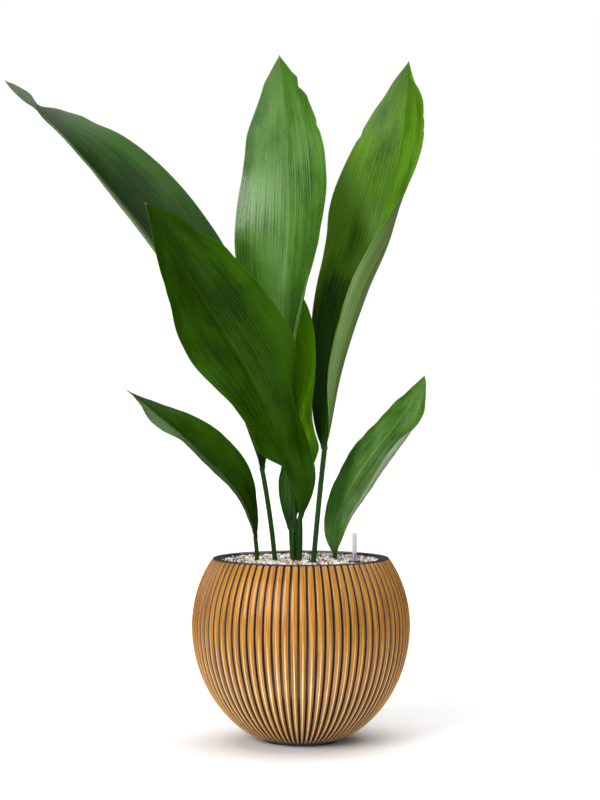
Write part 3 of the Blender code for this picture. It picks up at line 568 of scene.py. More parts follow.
def leaf(name, index, mat):
    """One leaf grown as one piece: the channelled stalk, the keeled midrib and the pleated blade."""
    spec = LEAVES[name]
    route = Path(spec["midrib"])
    blade = route.length - spec["petiole"]
    stalk_rows = int(spec["petiole"] / (2 * ROW_STEP))
    blade_rows = int(blade / ROW_STEP)
    stalk = np.linspace(0, 1, stalk_rows, endpoint=False) * spec["petiole"]
    even = np.linspace(0, 1, blade_rows + 1)
    shares = 0.35 * even + 0.65 * (0.5 - 0.5 * np.cos(math.pi * even))
    distances = np.concatenate([stalk, spec["petiole"] + blade * shares])
    distances[-1] = route.length - 0.01
    share = (distances - spec["petiole"]) / blade
    points, tangents = route.at(distances)
    side, front = side_and_front(tangents)
    width = np.where(share > 0, blade_widths(spec, share), 0.0)
    width = np.maximum(width, np.where(share > 0, LEAST_HALF_WIDTH, 0.0))
    inside = np.clip(share, 0, 1)[:, None]
    radius = spec["stalk_radius"] * (1 - inside) + TIP_END_SIZE * inside
    flat = np.clip(width[:, None] / (3 * radius), 0, 1)
    flat = flat * flat * (3 - 2 * flat)
    angles = turn_angles(spec, share)
    across = np.linspace(-1, 1, 2 * HALF_COLUMNS + 1)
    x = np.zeros((len(distances), len(across)))
    y = np.zeros_like(x)
    slope = np.zeros_like(x)
    for half, hand in (("left", -1), ("right", 1)):
        pick = across <= 0 if hand < 0 else across >= 0
        a, b, c = half_curve(angles[half], angles[half + "_edge"], np.abs(across[pick]))
        reach = np.ones_like(a) * half_reach(spec, half, inside)
        for which, at, depth, length in spec["edges"]:
            if which == half:
                bite = depth * np.exp(-(((share - at) / length) ** 2)) / np.maximum(width, 1)
                reach -= bite[:, None] * np.abs(across[pick]) ** 6
        x[:, pick], y[:, pick], slope[:, pick] = hand * a * reach, b * reach, c
    middle = np.abs(across)[None]
    hand = np.sign(across)[None] * np.ones_like(x)
    soften = np.clip(middle / 0.06, 0, 1)
    nx = -hand * np.sin(slope) * soften
    ny = np.cos(slope) * soften + (1 - soften) * np.cos(np.clip(slope, -1.2, 1.2))
    length = np.sqrt(nx**2 + ny**2)
    nx, ny = nx / np.maximum(length, 1e-6), ny / np.maximum(length, 1e-6)
    swell = np.sin(math.pi * inside) ** 0.5
    veins = np.cos(2 * math.pi * PLEATS * middle**0.92 + 0.6 * wavy(inside, index + 3, 2.0))
    size = np.clip(width / spec["half_width"], 0, 1)[:, None]
    pleat = (PLEAT_DEPTH * size * veins * swell * np.clip(4 * middle, 0, 1)
             * np.clip(6 * (1.02 - middle), 0, 1))
    wave = (middle**2.2) * swell * (WAVE_HEIGHT * wavy(inside + 0.13 * hand, index * 7, 7.0))
    rise = pleat + wave
    stalk_size = spec["stalk_radius"]
    from_rib = middle * width[:, None] / stalk_size
    keel = (KEEL_DEPTH * stalk_size * (1 - inside) + 0.3) * np.exp(-((from_rib / 0.9) ** 2))
    channel = CHANNEL_DEPTH * stalk_size * (1 - inside) * np.exp(-((from_rib / 0.6) ** 2))
    half_thick = 0.5 * (BLADE_THICKNESS + (MARGIN_THICKNESS - BLADE_THICKNESS) * middle)
    around = np.radians(90 - 88 * across)[None]
    layers = []
    for up in (1, -1):
        depth = rise + up * half_thick - (keel if up < 0 else channel)
        groove = 1 - (0.22 * np.exp(-(((across[None]) / 0.35) ** 2)) if up > 0 else 0)
        off_x = (1 - flat) * radius * np.cos(around) + flat * nx * depth
        off_y = (1 - flat) * radius * groove * np.sin(around) * up + flat * ny * depth
        sx = x * width[:, None] + off_x
        fy = y * width[:, None] + off_y
        layers.append(points[:, None] + side[:, None] * sx[..., None] + front[:, None] * fy[..., None])
    rings = np.concatenate([layers[0], layers[1][:, ::-1]], axis=1)
    rows, count = rings.shape[:2]
    attributes = {
        "across": np.concatenate([across, across[::-1]])[None].repeat(rows, 0).ravel(),
        "along": share[:, None].repeat(count, 1).ravel(),
        "upper": np.concatenate([np.ones_like(across), 0 * across])[None].repeat(rows, 0).ravel(),
        "size": (width / spec["half_width"])[:, None].repeat(count, 1).ravel(),
    }
    # Lighter and darker zones, partly the tissue's own tone and partly painted light and shade.
    attributes["light_tone"] = tone_and_painted_light(LEAF_LOOKS[name]["tone_and_light_zones"], attributes)
    obj = make_mesh(name + "_grown", rings.reshape(-1, 3), tube_faces(rows, count), [mat], 60,
                    attributes=attributes)
    return finish_piece(obj, PLANT, name, name)


def tone_and_painted_light(tone_and_light_zones, attributes):
    """How much lighter or, below zero, darker than its average the leaf is at each point, partly its
    tissue's own tone and partly painted light and shade.
    """
    total = np.zeros_like(attributes["across"])
    for across, along, wide, long, amount in tone_and_light_zones:
        total += amount * np.exp(-((attributes["across"] - across) / wide) ** 2
                                 - ((attributes["along"] - along) / long) ** 2)
    return total


# Each leaf's upper face goes from a deep to a light tone, with its under face's colour beside them.
# Zones are lighter or, below zero, darker places, partly the tissue's own tone and partly painted
# light and shade: (across, along, their spreads, amount).
# A painted sheen over one half is (hand, the share of the blade where it ends, colour), and a pale tip
# is (start, colour).
LEAF_LOOKS = {
    "leaf_far_left": dict(
        deep=(0.011, 0.034, 0.006), light_tone=(0.034, 0.094, 0.014),
        under=(0.13, 0.19, 0.08), rough=0.38, shine=0.16,
        painted_sheen_half=(-1, 0.88, (0.20, 0.27, 0.13)), pale_tip=(0.92, (0.10, 0.17, 0.07)),
        tone_and_light_zones=((1.0, 0.72, 0.35, 0.2, 0.9), (0.2, 0.5, 0.5, 0.4, -0.4),
               (-0.7, 0.42, 0.8, 0.16, 0.8))),
    "leaf_front_broad": dict(
        deep=(0.009, 0.030, 0.0), light_tone=(0.028, 0.095, 0.0),
        under=(0.10, 0.20, 0.04), rough=0.40, shine=0.07,
        tone_and_light_zones=((-1.0, 0.48, 0.35, 0.12, 0.9), (0.3, 0.7, 0.6, 0.25, -0.3),
               (0.9, 0.42, 0.28, 0.25, 1.1), (-0.3, 0.15, 0.6, 0.2, 0.3))),
    "leaf_centre_tall": dict(
        deep=(0.020, 0.074, 0.002), light_tone=(0.078, 0.215, 0.020),
        under=(0.16, 0.28, 0.09), rough=0.25, shine=0.5,
        tone_and_light_zones=((0.7, 0.35, 0.5, 0.3, -0.4), (0.5, 0.16, 0.45, 0.16, -1.3),
               (-0.4, 0.6, 0.5, 0.3, 0.4),
               (-1.0, 0.72, 0.2, 0.12, -0.6), (0.9, 0.75, 0.4, 0.2, 0.2))),
    "leaf_right_tall": dict(
        deep=(0.004, 0.024, 0.0), light_tone=(0.090, 0.226, 0.008),
        under=(0.108, 0.182, 0.046), rough=0.36, shine=0.16,
        tone_and_light_zones=((-1.0, 0.60, 0.40, 0.22, 1.6), (-0.5, 0.18, 0.8, 0.19, -2.0),
               (0.1, 0.68, 0.5, 0.2, 0.5), (1.0, 0.85, 0.3, 0.2, 0.5))),
    "leaf_back_centre": dict(
        deep=(0.004, 0.030, 0.002), light_tone=(0.105, 0.290, 0.0),
        under=(0.10, 0.20, 0.04), rough=0.40, shine=0.10,
        tone_and_light_zones=((0.0, 0.80, 1.5, 0.3, 1.2), (-0.8, 0.15, 0.7, 0.35, -2.0),
               (0.6, 0.0, 0.8, 0.2, -1.2))),
    "leaf_low_left": dict(
        deep=(0.010, 0.034, 0.0), light_tone=(0.026, 0.085, 0.0),
        under=(0.13, 0.21, 0.07), rough=0.42, shine=0.08,
        painted_sheen_half=(-1, 0.94, (0.17, 0.29, 0.12)), tone_and_light_zones=((0.8, 0.6, 0.4, 0.3, 0.4),)),
    "leaf_low_right": dict(
        deep=(0.016, 0.074, 0.0), light_tone=(0.092, 0.210, 0.034),
        under=(0.26, 0.31, 0.18), rough=0.36, shine=0.25,
        tone_and_light_zones=((-0.6, 0.25, 0.6, 0.15, -0.9), (-0.8, 0.75, 0.4, 0.15, -0.2))),
}
DEEP_STALK = (0.006, 0.026, 0.002)
FRESH_STALK = (0.022, 0.070, 0.010)
DRY_TIP = (0.24, 0.12, 0.06)


def leaf_material(name, look):
    """Waxy leaf: fine veins along the blade, mottled tone with zones of painted light and shade, pale
    midrib and under face, and on some a painted sheen over one half.
    """
    n = Nodes(name)
    across, along, upper, size, zone_tone_and_light = (
        n.attribute(key) for key in ("across", "along", "upper", "size", "light_tone"))
    distance = n.math("ABSOLUTE", across)
    sway = n.stretched((across, 5.0), (along, 3.0), upper, detail=1.0)
    phase = n.plus(n.times(distance, VEINS), sway)
    wave = n.math("SINE", n.times(phase, 2 * math.pi))
    finer = n.math("SINE", n.times(phase, 6 * math.pi))
    clear = n.span(size, 0.20, 0.60)
    streak = n.calmed(n.stretched((across, 22.0), (along, 3.0), upper, 1.0, 2.0, 0.5), clear)
    patch = n.calmed(n.stretched((across, 1.6), (along, 5.0), upper, 1.6, 3.0, 0.5), clear)
    fine = n.noise(n.place(), 260.0, 3.0, 0.6)
    mottle = n.calmed(fine, n.span(size, 0.20, 0.60, 0.15, 1.0))
    vein = n.times(n.span(wave, 0.70, 0.98), n.span(streak, 0.30, 0.60), clear)
    between = n.times(n.span(wave, -0.98, -0.60, 1.0, 0.0), n.span(streak, 0.30, 0.65), clear)
    deep, light_tone, under = look["deep"], look["light_tone"], look["under"]
    light = scaled(light_tone, 1.5)
    # The zones' tone is partly the tissue's own and partly painted light and shade.
    tone = n.plus(n.times(patch, 0.75), n.times(streak, 0.25), n.times(zone_tone_and_light, 0.35))
    top = n.tint(deep, light_tone, tone, 0.26, 0.76)
    top = n.mix(n.times(vein, 0.40), top, light)
    top = n.mix(n.times(between, 0.30), top, scaled(deep, 0.7))
    top = n.mix(n.times(n.span(finer, 0.5, 1.0, 0.0, 0.12), clear), top, light)
    top = n.tint(top, deep, mottle, 0.55, 0.75, 0.0, 0.25)
    top = n.tint(top, light, distance, 0.004, 0.016, 0.45, 0.0)
    low = n.tint(scaled(under, 0.75), under, streak, 0.35, 0.60)
    low = n.mix(n.times(vein, 0.5), low, scaled(under, 1.45))
    low = n.mix(n.times(between, 0.6), low, scaled(under, 0.55))
    low = n.tint(low, scaled(under, 0.7), mottle, 0.5, 0.75, 0.0, 0.2)
    low = n.tint(low, scaled(under, 1.35), distance, 0.02, 0.06, 0.6, 0.0)
    blade = n.mix(upper, low, top)
    # A painted sheen over one half of the blade, up to the share where it ends.
    if "painted_sheen_half" in look:
        hand, end, pale = look["painted_sheen_half"]
        share = n.times(n.span(n.times(across, hand), 0.04, 0.30, 0.0, 0.65),
                        n.span(along, end - 0.05, end + 0.05, 1.0, 0.0))
        blade = n.mix(share, blade, n.tint(scaled(pale, 0.8), pale, streak, 0.35, 0.65))
    if "pale_tip" in look:
        start, pale = look["pale_tip"]
        pale = n.tint(scaled(pale, 0.8), pale, mottle, 0.3, 0.7)
        blade = n.tint(blade, pale, along, start - 0.01, start + 0.01, 0.0, 0.85)
    blade = n.tint(blade, light, distance, 0.975, 0.997, 0.0, 0.6)
    stalk = n.tint(DEEP_STALK, FRESH_STALK, streak, 0.4, 0.6)
    stalk = n.tint(stalk, scaled(DEEP_STALK, 0.8), mottle, 0.5, 0.75, 0.0, 0.4)
    blade = n.tint(stalk, blade, along, -0.02, 0.06)
    blade = n.tint(blade, DRY_TIP, n.plus(along, n.centred(fine, 0.012)), 0.988, 0.997)
    height = n.times(n.plus(n.times(wave, 0.5), n.times(finer, 0.25)), n.times(size, size))
    height = n.times(n.plus(height, n.times(mottle, 0.15)), n.span(size, 0.35, 0.75))
    rough = look["rough"]
    waxy = n.span(n.plus(patch, n.times(mottle, 0.4)), 0.5, 0.9, rough, rough + 0.12)
    n.set(Base_Color=blade, Roughness=n.plus(n.span(along, -0.04, 0.08, 0.32, 0.0), waxy),
          Specular_IOR_Level=n.span(along, -0.04, 0.10, 0.08, look["shine"]),
          Normal=n.bump(height, 0.00022, 0.7))
    return n.mat


# ---------------------------------------------------------------- stones
STONE_KINDS = {
    "stones_cream": (0.46, (0.66, 0.52, 0.40), (0.92, 0.80, 0.68)),
    "stones_pale": (0.27, (0.72, 0.84, 0.86), (0.90, 0.96, 0.96)),
    "stones_brown": (0.24, (0.07, 0.045, 0.042), (0.24, 0.15, 0.13)),
    "stones_rust": (0.04, (0.28, 0.08, 0.03), (0.46, 0.17, 0.08)),
}
STONE_SEED = 11
SUNK_STONES = 2.2             # how much lower they lie in front of the gauge
STONE_RING = 106.6
# Layers of stones: smallest and largest size, tries, level of their middles.
STONE_LAYERS = ((6.5, 8.5, 700, 236.6), (4.8, 7.0, 9000, 237.4), (3.2, 5.0, 12000, 238.2),
                (2.0, 3.2, 7000, 238.6))


def stone_shapes(rng, count):
    """Angular stones as (points, faces), each about 1 across before it is scaled."""
    shapes = []
    for _ in range(count):
        bm = bmesh.new()
        for _ in range(15):
            way = Vector((rng.gauss(0, 1), rng.gauss(0, 1), rng.gauss(0, 1))).normalized()
            bm.verts.new(way * rng.uniform(0.40, 0.56))
        hull = bmesh.ops.convex_hull(bm, input=bm.verts)
        loose = [v for v in hull["geom_interior"] if isinstance(v, bmesh.types.BMVert)]
        bmesh.ops.delete(bm, geom=loose, context="VERTS")
        bmesh.ops.recalc_face_normals(bm, faces=bm.faces)
        bm.verts.index_update()
        points = np.array([v.co for v in bm.verts])
        faces = np.array([[v.index for v in f.verts] for f in bm.faces])
        bm.free()
        shapes.append((points, faces))
    return shapes


def stalk_places():
    """(x, y, radius) of everything that stands in the bed, at its surface."""
    places = []
    for name, spec in LEAVES.items():
        route = Path(spec["midrib"])
        height = route.points[:, 2]
        at = np.argmin(np.abs(height - (BED_TOP + 2)))
        extra = 1.4 if name == DRY_SHEATH_LEAF else 0.2
        places.append((*route.points[at, :2], spec["stalk_radius"] + extra))
    places.append((*YOUNG_SHEATH_ROUTE[1][:2], YOUNG_SHEATH_RADIUS + 0.15))
    return places


def turned_matrix(rng):
    """A random turn as a 3 by 3 array."""
    q = np.array([rng.gauss(0, 1) for _ in range(4)])
    w, x, y, z = q / np.linalg.norm(q)
    return np.array([
        [1 - 2 * (y * y + z * z), 2 * (x * y - z * w), 2 * (x * z + y * w)],
        [2 * (x * y + z * w), 1 - 2 * (x * x + z * z), 2 * (y * z - x * w)],
        [2 * (x * z - y * w), 2 * (y * z + x * w), 1 - 2 * (x * x + y * y)]])


def before_gauge(x, y, gauge):
    """True for a place just in front of the gauge, where the stones lie lower."""
    return abs(x - gauge[0]) < 10.0 and -24.0 < y - gauge[1] < 0.0


def place_stones(rng, gauge):
    """(x, y, z, size) of every stone: a lower layer of large ones, then smaller ones on top."""
    standing = stalk_places() + [(gauge[0], gauge[1], 7.0)]
    found = []
    cells = {}
    for low, high, tries, level in STONE_LAYERS:
        for _ in range(tries):
            size = rng.uniform(low, high)
            r = (STONE_RING - 0.42 * size) * math.sqrt(rng.random())
            a = rng.uniform(0, 2 * math.pi)
            x, y = r * math.cos(a), r * math.sin(a)
            if any(math.hypot(x - u, y - v) < s + 0.40 * size for u, v, s in standing):
                continue
            cell = (int(x // 8), int(y // 8))
            near = [p for i in (-1, 0, 1) for j in (-1, 0, 1)
                    for p in cells.get((cell[0] + i, cell[1] + j), ())]
            if any(math.hypot(x - p[0], y - p[1]) < 0.37 * (size + p[3]) for p in near):
                continue
            sunk = SUNK_STONES if before_gauge(x, y, gauge) else 0.0
            stone = (x, y, level + rng.uniform(-0.9, 0.7) - sunk, size)
            cells.setdefault(cell, []).append(stone)
            found.append(stone)
    return found


def stones(gauge):
    """The visible top of the granule bed, stone by stone, as one piece for each colour."""
    rng = random.Random(STONE_SEED)
    shapes = stone_shapes(rng, 24)
    spots = place_stones(rng, gauge)
    kinds = list(STONE_KINDS)
    weights = [STONE_KINDS[k][0] for k in kinds]
    heaps = {k: ([], [], []) for k in kinds}
    for x, y, z, size in spots:
        verts, faces, tones = heaps[rng.choices(kinds, weights)[0]]
        points, shape = rng.choice(shapes)
        scale = np.array([rng.uniform(0.85, 1.25), rng.uniform(0.75, 1.05), rng.uniform(0.6, 0.9)])
        placed = (points * scale * size) @ turned_matrix(rng).T + (x, y, z)
        start = sum(len(v) for v in verts)
        verts.append(placed)
        faces.append(shape + start)
        tones.append(np.full(len(points), rng.random()))
    for kind, (verts, faces, tones) in heaps.items():
        mat = stone_material(kind, *STONE_KINDS[kind][1:])
        obj = make_mesh(kind, np.concatenate(verts), np.concatenate(faces).tolist(), [mat], 20,
                        attributes={"tone": np.concatenate(tones)})
        finish_piece(obj, PLANT, "granules")


def stone_material(name, dark, light):
    """Rough mineral: each stone has its own tone, with pores and dusty specks."""
    n = Nodes(name)
    place = n.place()
    grain = n.noise(place, 700.0, 4.0, 0.65)
    pores = n.add("ShaderNodeTexVoronoi", {"Vector": place, "Scale": 1300.0}).outputs["Distance"]
    tone = n.plus(n.times(n.attribute("tone"), 0.6), n.times(grain, 0.4))
    colour = n.tint(dark, light, tone, 0.15, 0.85)
    colour = n.tint(colour, scaled(dark, 0.45), pores, 0.0, 0.22, 0.35, 0.0)
    n.set(Base_Color=colour, Roughness=n.span(grain, 0.2, 0.8, 0.72, 0.95),
          Normal=n.bump(n.plus(grain, pores), 0.0004, 0.8))
    return n.mat


def bed_material():
    """The granules below the top layer, as packed stones with painted shade in the gaps between them.
    """
    n = Nodes("granule_fill")
    place = n.place()
    cells = n.add("ShaderNodeTexVoronoi", {"Vector": place, "Scale": 230.0})
    distance = cells.outputs["Distance"]
    grain = n.noise(place, 800.0, 3.0)
    pick = n.add("ShaderNodeSeparateXYZ", {0: cells.outputs["Color"]}).outputs[0]
    colour = n.tint((0.10, 0.07, 0.06), (0.42, 0.34, 0.28), pick, 0.25, 0.8)
    # The dark gaps between the stones are painted shade.
    colour = n.tint(colour, (0.03, 0.022, 0.02), distance, 0.35, 0.62, 0.0, 0.8)
    n.set(Base_Color=colour, Roughness=n.span(grain, 0.2, 0.8, 0.8, 0.98),
          Normal=n.bump(n.math("SUBTRACT", grain, distance), 0.0015, 1.0))
    return n.mat


# ---------------------------------------------------------------- sheaths
YOUNG_SHEATH_ROUTE = ((-10, -2.5, FOOT_LEVEL), (-10.5, -2.5, 250), (-12, -3.5, 292))
YOUNG_SHEATH_RADIUS = 2.15
YOUNG_SHEATH_TIP_RADIUS = 0.2
YOUNG_SHEATH_FLATNESS = 0.7
DRY_SHEATH_LEAF = "leaf_right_tall"
DRY_SHEATH_TOP = 251
DRY_SHEATH_THICKNESS = 0.7
DRY_SHEATH_GAP = 0.55
DRY_SHEATH_FACES = (150, 290)
FLAP_PLACE = -0.45            # where the flap's point is, from one edge (-1) to the other (1)
FLAP_LEAN = 3.4               # how far the point stands away from the stalk


def young_sheath():
    """The pointed bract among the middle stalks: green, with pale papery margins."""
    route = Path(YOUNG_SHEATH_ROUTE)
    sides, rows = 40, 90
    share = np.linspace(0, 0.999, rows)
    points, tangents = route.at(share * route.length)
    side, front = side_and_front(tangents)
    radius = YOUNG_SHEATH_RADIUS - (YOUNG_SHEATH_RADIUS - YOUNG_SHEATH_TIP_RADIUS) * share**3
    around = 2 * math.pi * np.arange(sides) / sides
    over, under = (np.exp(-((around - angle) / 0.12) ** 2) for angle in (4.0, 3.7))
    overlap = 0.10 * over - 0.10 * under
    ribbed = 1 + 0.02 * np.cos(11 * around) + overlap
    out = radius[:, None] * ribbed
    rings = (points[:, None] + side[:, None] * (out * np.cos(around))[..., None]
             + front[:, None] * (YOUNG_SHEATH_FLATNESS * out * np.sin(around))[..., None])
    obj = make_mesh("young_sheath_bract", rings.reshape(-1, 3), tube_faces(rows, sides),
                    [young_sheath_material()], 50,
                    attributes={"around": np.tile(around, rows), "along": share.repeat(sides)})
    finish_piece(obj, PLANT, "young_sheath", "young_sheath")


def young_sheath_material():
    """Dark green, finely lined, with pale margins where it overlaps and a dry point."""
    n = Nodes("young_sheath_skin")
    around, along = n.attribute("around"), n.attribute("along")
    streak = n.stretched((around, 3.0), (along, 3.0), rough=0.6)
    lines = n.math("SINE", n.times(around, 22.0))
    margin = n.math("ABSOLUTE", n.math("SUBTRACT", around, 3.88))
    colour = n.tint((0.008, 0.034, 0.003), (0.030, 0.088, 0.012), streak, 0.35, 0.65)
    colour = n.tint(colour, (0.05, 0.13, 0.02), lines, 0.6, 1.0, 0.0, 0.3)
    colour = n.tint(colour, (0.22, 0.26, 0.12), margin, 0.05, 0.22, 0.8, 0.0)
    colour = n.tint(colour, (0.20, 0.15, 0.07), along, 0.93, 1.0)
    n.set(Base_Color=colour, Roughness=n.span(streak, 0.3, 0.7, 0.60, 0.75),
          Specular_IOR_Level=0.15, Normal=n.bump(n.plus(lines, streak), 0.0001, 0.6))
    return n.mat


def dry_sheath():
    """The dried bract round one stalk's foot: a curled brown scale with a frayed top."""
    spec = LEAVES[DRY_SHEATH_LEAF]
    route = Path(spec["midrib"])
    top = np.interp(DRY_SHEATH_TOP, route.points[:, 2], route.distance)
    rows, columns = 60, 36
    start, end = DRY_SHEATH_FACES
    around = np.radians(np.linspace(start, end, columns))
    across = np.linspace(-1, 1, columns)
    rng = random.Random(5)
    teeth = np.array([rng.uniform(0, 1) for _ in range(columns)])
    height = (1 - 0.42 * np.abs(across - FLAP_PLACE) ** 1.2) * (1 - 0.10 * teeth)
    share = np.linspace(0, 1, rows)[:, None] * height
    points, tangents = route.at(share.ravel() * top)
    side, front = side_and_front(tangents)
    flare = FLAP_LEAN * share**3 + 0.25 * np.sin(across * 9 + 4 * share) * share
    layers = []
    for up in (1, 0):
        radius = spec["stalk_radius"] + DRY_SHEATH_GAP + 0.2 + flare + up * DRY_SHEATH_THICKNESS * 0.6
        radius = radius.ravel()[:, None]
        turn = np.tile(around, rows)[:, None]
        layers.append((points + side * radius * np.cos(turn)
                       + front * radius * np.sin(turn)).reshape(rows, columns, 3))
    rings = np.concatenate([layers[0], layers[1][:, ::-1]], axis=1)
    flat = np.concatenate([share, share[:, ::-1]], axis=1).ravel()
    strand = np.tile(np.concatenate([across, across[::-1]]), rows)
    obj = make_mesh("dry_sheath_scale", rings.reshape(-1, 3), tube_faces(rows, 2 * columns),
                    [dry_sheath_material()], 50, attributes={"along": flat, "across": strand})
    finish_piece(obj, PLANT, "dry_sheath", "dry_sheath")


def dry_sheath_material():
    """Brown and fibrous, stained, and paler towards its frayed top."""
    n = Nodes("dry_sheath_paper")
    across, along = n.attribute("across"), n.attribute("along")
    fibre = n.stretched((across, 16.0), (along, 2.0), detail=4.0, rough=0.65)
    stain = n.noise(n.place(), 300.0, 3.0)
    colour = n.tint((0.10, 0.035, 0.015), (0.36, 0.17, 0.08), fibre, 0.3, 0.7)
    colour = n.tint(colour, (0.06, 0.022, 0.012), stain, 0.45, 0.7, 0.0, 0.7)
    colour = n.tint(colour, (0.50, 0.30, 0.18), along, 0.75, 0.95, 0.0, 0.4)
    n.set(Base_Color=colour, Roughness=n.span(fibre, 0.2, 0.8, 0.7, 0.9),
          Normal=n.bump(fibre, 0.0003, 0.9))
    return n.mat


# ---------------------------------------------------------------- water gauge
COLLAR_BOTTOM = 236.8
COLLAR_TOP = 239.8
COLLAR_RADIUS = 8.0
CAP_TOP = 249.8
SIGHT_BOTTOM = 240.15
SIGHT_TOP = 276.2
SIGHT_OUTER = 2.95
SIGHT_INNER = 2.15
SCALE_MARKS = (268.0, 257.6)
MARK_HALF_HEIGHT = 1.4


def lathe(name, profile, centre, mat, sides=64, closed=False, ripple=None, smooth_angle=35):
    """A solid turned about a vertical axis at centre, from (radius, level) pairs.

    ripple gives how far the surface steps in at an angle and level, in millimetres.
    """
    angles = 2 * math.pi * np.arange(sides) / sides
    verts = []
    for radius, level in profile:
        for angle in angles:
            r = radius - (ripple(angle, level) if ripple else 0.0)
            verts.append((centre[0] + r * math.cos(angle), centre[1] + r * math.sin(angle), level))
    faces = ring_faces(len(profile), sides)
    last = (len(profile) - 1) * sides
    if closed:
        faces += [(last + i, last + (i + 1) % sides, (i + 1) % sides, i) for i in range(sides)]
    else:
        faces += [list(range(sides)), list(range(last, last + sides))]
    return make_mesh(name, verts, faces, [mat], smooth_angle)


def notches(angle, count, sharpness, depth):
    """How deep evenly spaced grip notches are at an angle."""
    return depth * max(0.0, math.cos(count * angle)) ** sharpness


def rounded(corners, radius=0.25, steps=4):
    """A profile with its corners rounded off."""
    corners = [np.array(c, float) for c in corners]
    found = []
    for i, corner in enumerate(corners):
        before, after = corners[i - 1], corners[(i + 1) % len(corners)]
        to_before, to_after = before - corner, after - corner
        reach = min(radius, 0.45 * np.linalg.norm(to_before), 0.45 * np.linalg.norm(to_after))
        a = corner + to_before / np.linalg.norm(to_before) * reach
        b = corner + to_after / np.linalg.norm(to_after) * reach
        for t in np.linspace(0, 1, steps + 1):
            found.append(tuple((1 - t) ** 2 * a + 2 * t * (1 - t) * corner + t * t * b))
    return found


def plastic(name, dark, light, rough, scale=500.0, transmission=0.0, speck=None):
    """Moulded plastic: faint flow marks, scuffs and, where it is clear, light through it."""
    n = Nodes(name)
    place = n.place()
    flow = n.noise(place, scale, 3.0)
    scuff = n.noise(place, 6 * scale, 2.0)
    colour = n.tint(dark, light, flow, 0.3, 0.7)
    if speck is not None:
        colour = n.tint(colour, speck, scuff, 0.62, 0.74, 0.0, 0.6)
    n.set(Base_Color=colour, Roughness=n.span(flow, 0.2, 0.8, rough, rough + 0.12),
          Transmission_Weight=transmission, IOR=1.45,
          Normal=n.bump(n.plus(flow, n.times(scuff, 0.3)), 0.00004, 0.5))
    return n.mat


def gauge(centre):
    """The gauge above the bed: dark collar, cloudy cone, clear tube, scale, and the float."""
    dark = plastic("gauge_collar_plastic", (0.016, 0.010, 0.012), (0.040, 0.026, 0.028), 0.42,
                   speck=(0.14, 0.11, 0.10))
    stem = 3.65
    corners = [(COLLAR_RADIUS, COLLAR_BOTTOM), (COLLAR_RADIUS - 0.5, COLLAR_TOP - 0.9),
               (COLLAR_RADIUS - 1.2, COLLAR_TOP), (SIGHT_INNER, COLLAR_TOP),
               (SIGHT_INNER, 232), (stem, 232), (stem, COLLAR_BOTTOM)]
    collar = lathe("gauge_collar_disc", rounded(corners), centre, dark, 108, True,
                   lambda angle, level: (level > COLLAR_BOTTOM - 0.3) * notches(angle, 18, 4, 0.25))
    finish_piece(collar, PLANT, "gauge_collar", "gauge_collar")
    cloudy = plastic("gauge_cap_plastic", (0.52, 0.48, 0.54), (0.76, 0.73, 0.78), 0.08,
                     scale=260.0, transmission=0.75)
    socket = SIGHT_OUTER + 0.35
    corners = [(7.6, 240.2), (7.3, 241.4), (4.9, 246.2), (4.1, 249.2), (4.0, CAP_TOP),
               (socket, CAP_TOP), (socket, 240.2)]
    cap = lathe("gauge_cap_cone", rounded(corners, 0.6, 6), centre, cloudy, 96, True,
                lambda angle, level: notches(angle, 12, 2, 0.10))
    finish_piece(cap, PLANT, "gauge_cap", "gauge_cap")
    clear = plastic("gauge_sight_plastic", (0.74, 0.73, 0.77), (0.84, 0.83, 0.86), 0.10,
                    scale=300.0, transmission=0.45)
    tube = [(1.85, 274.8), (SIGHT_INNER, 274.4), (SIGHT_INNER, SIGHT_BOTTOM),
            (SIGHT_OUTER, SIGHT_BOTTOM), (SIGHT_OUTER, 275.3), (SIGHT_OUTER - 0.25, 275.9),
            (SIGHT_OUTER - 0.8, SIGHT_TOP)]
    sight = lathe("gauge_sight_clear", tube, centre, clear, 64)
    finish_piece(sight, PLANT, "gauge_sight", "gauge_sight_tube")
    gauge_scale(centre)
    white = plastic("gauge_float_plastic", (0.66, 0.66, 0.64), (0.84, 0.84, 0.82), 0.38)
    rod = [(2.7, 36.3), (3.3, 36.6), (3.5, 37.3), (3.5, 69.5), (3.2, 70.6), (2.2, 71.6), (0.9, 72.3),
           (0.9, 244.0)]
    finish_piece(lathe("gauge_float_body", rod, centre, white, 40), FLOAT, "gauge_float",
                 "gauge_float_rod")
    red = plastic("gauge_tip_plastic", (0.42, 0.018, 0.012), (0.70, 0.05, 0.03), 0.3)
    tip = [(1.1, 244.3), (1.3, 244.5), (1.35, 244.9), (1.35, 247.0), (1.15, 247.9), (0.7, 248.3),
           (0.25, 248.4)]
    finish_piece(lathe("gauge_float_tip_red", tip, centre, red, 32), FLOAT, "gauge_tip",
                 "gauge_float_tip")
    dress("gauge_guide_tube", plastic("gauge_guide_plastic", (0.40, 0.40, 0.41), (0.58, 0.58, 0.59),
                                      0.45, scale=200.0, speck=(0.25, 0.25, 0.26)))


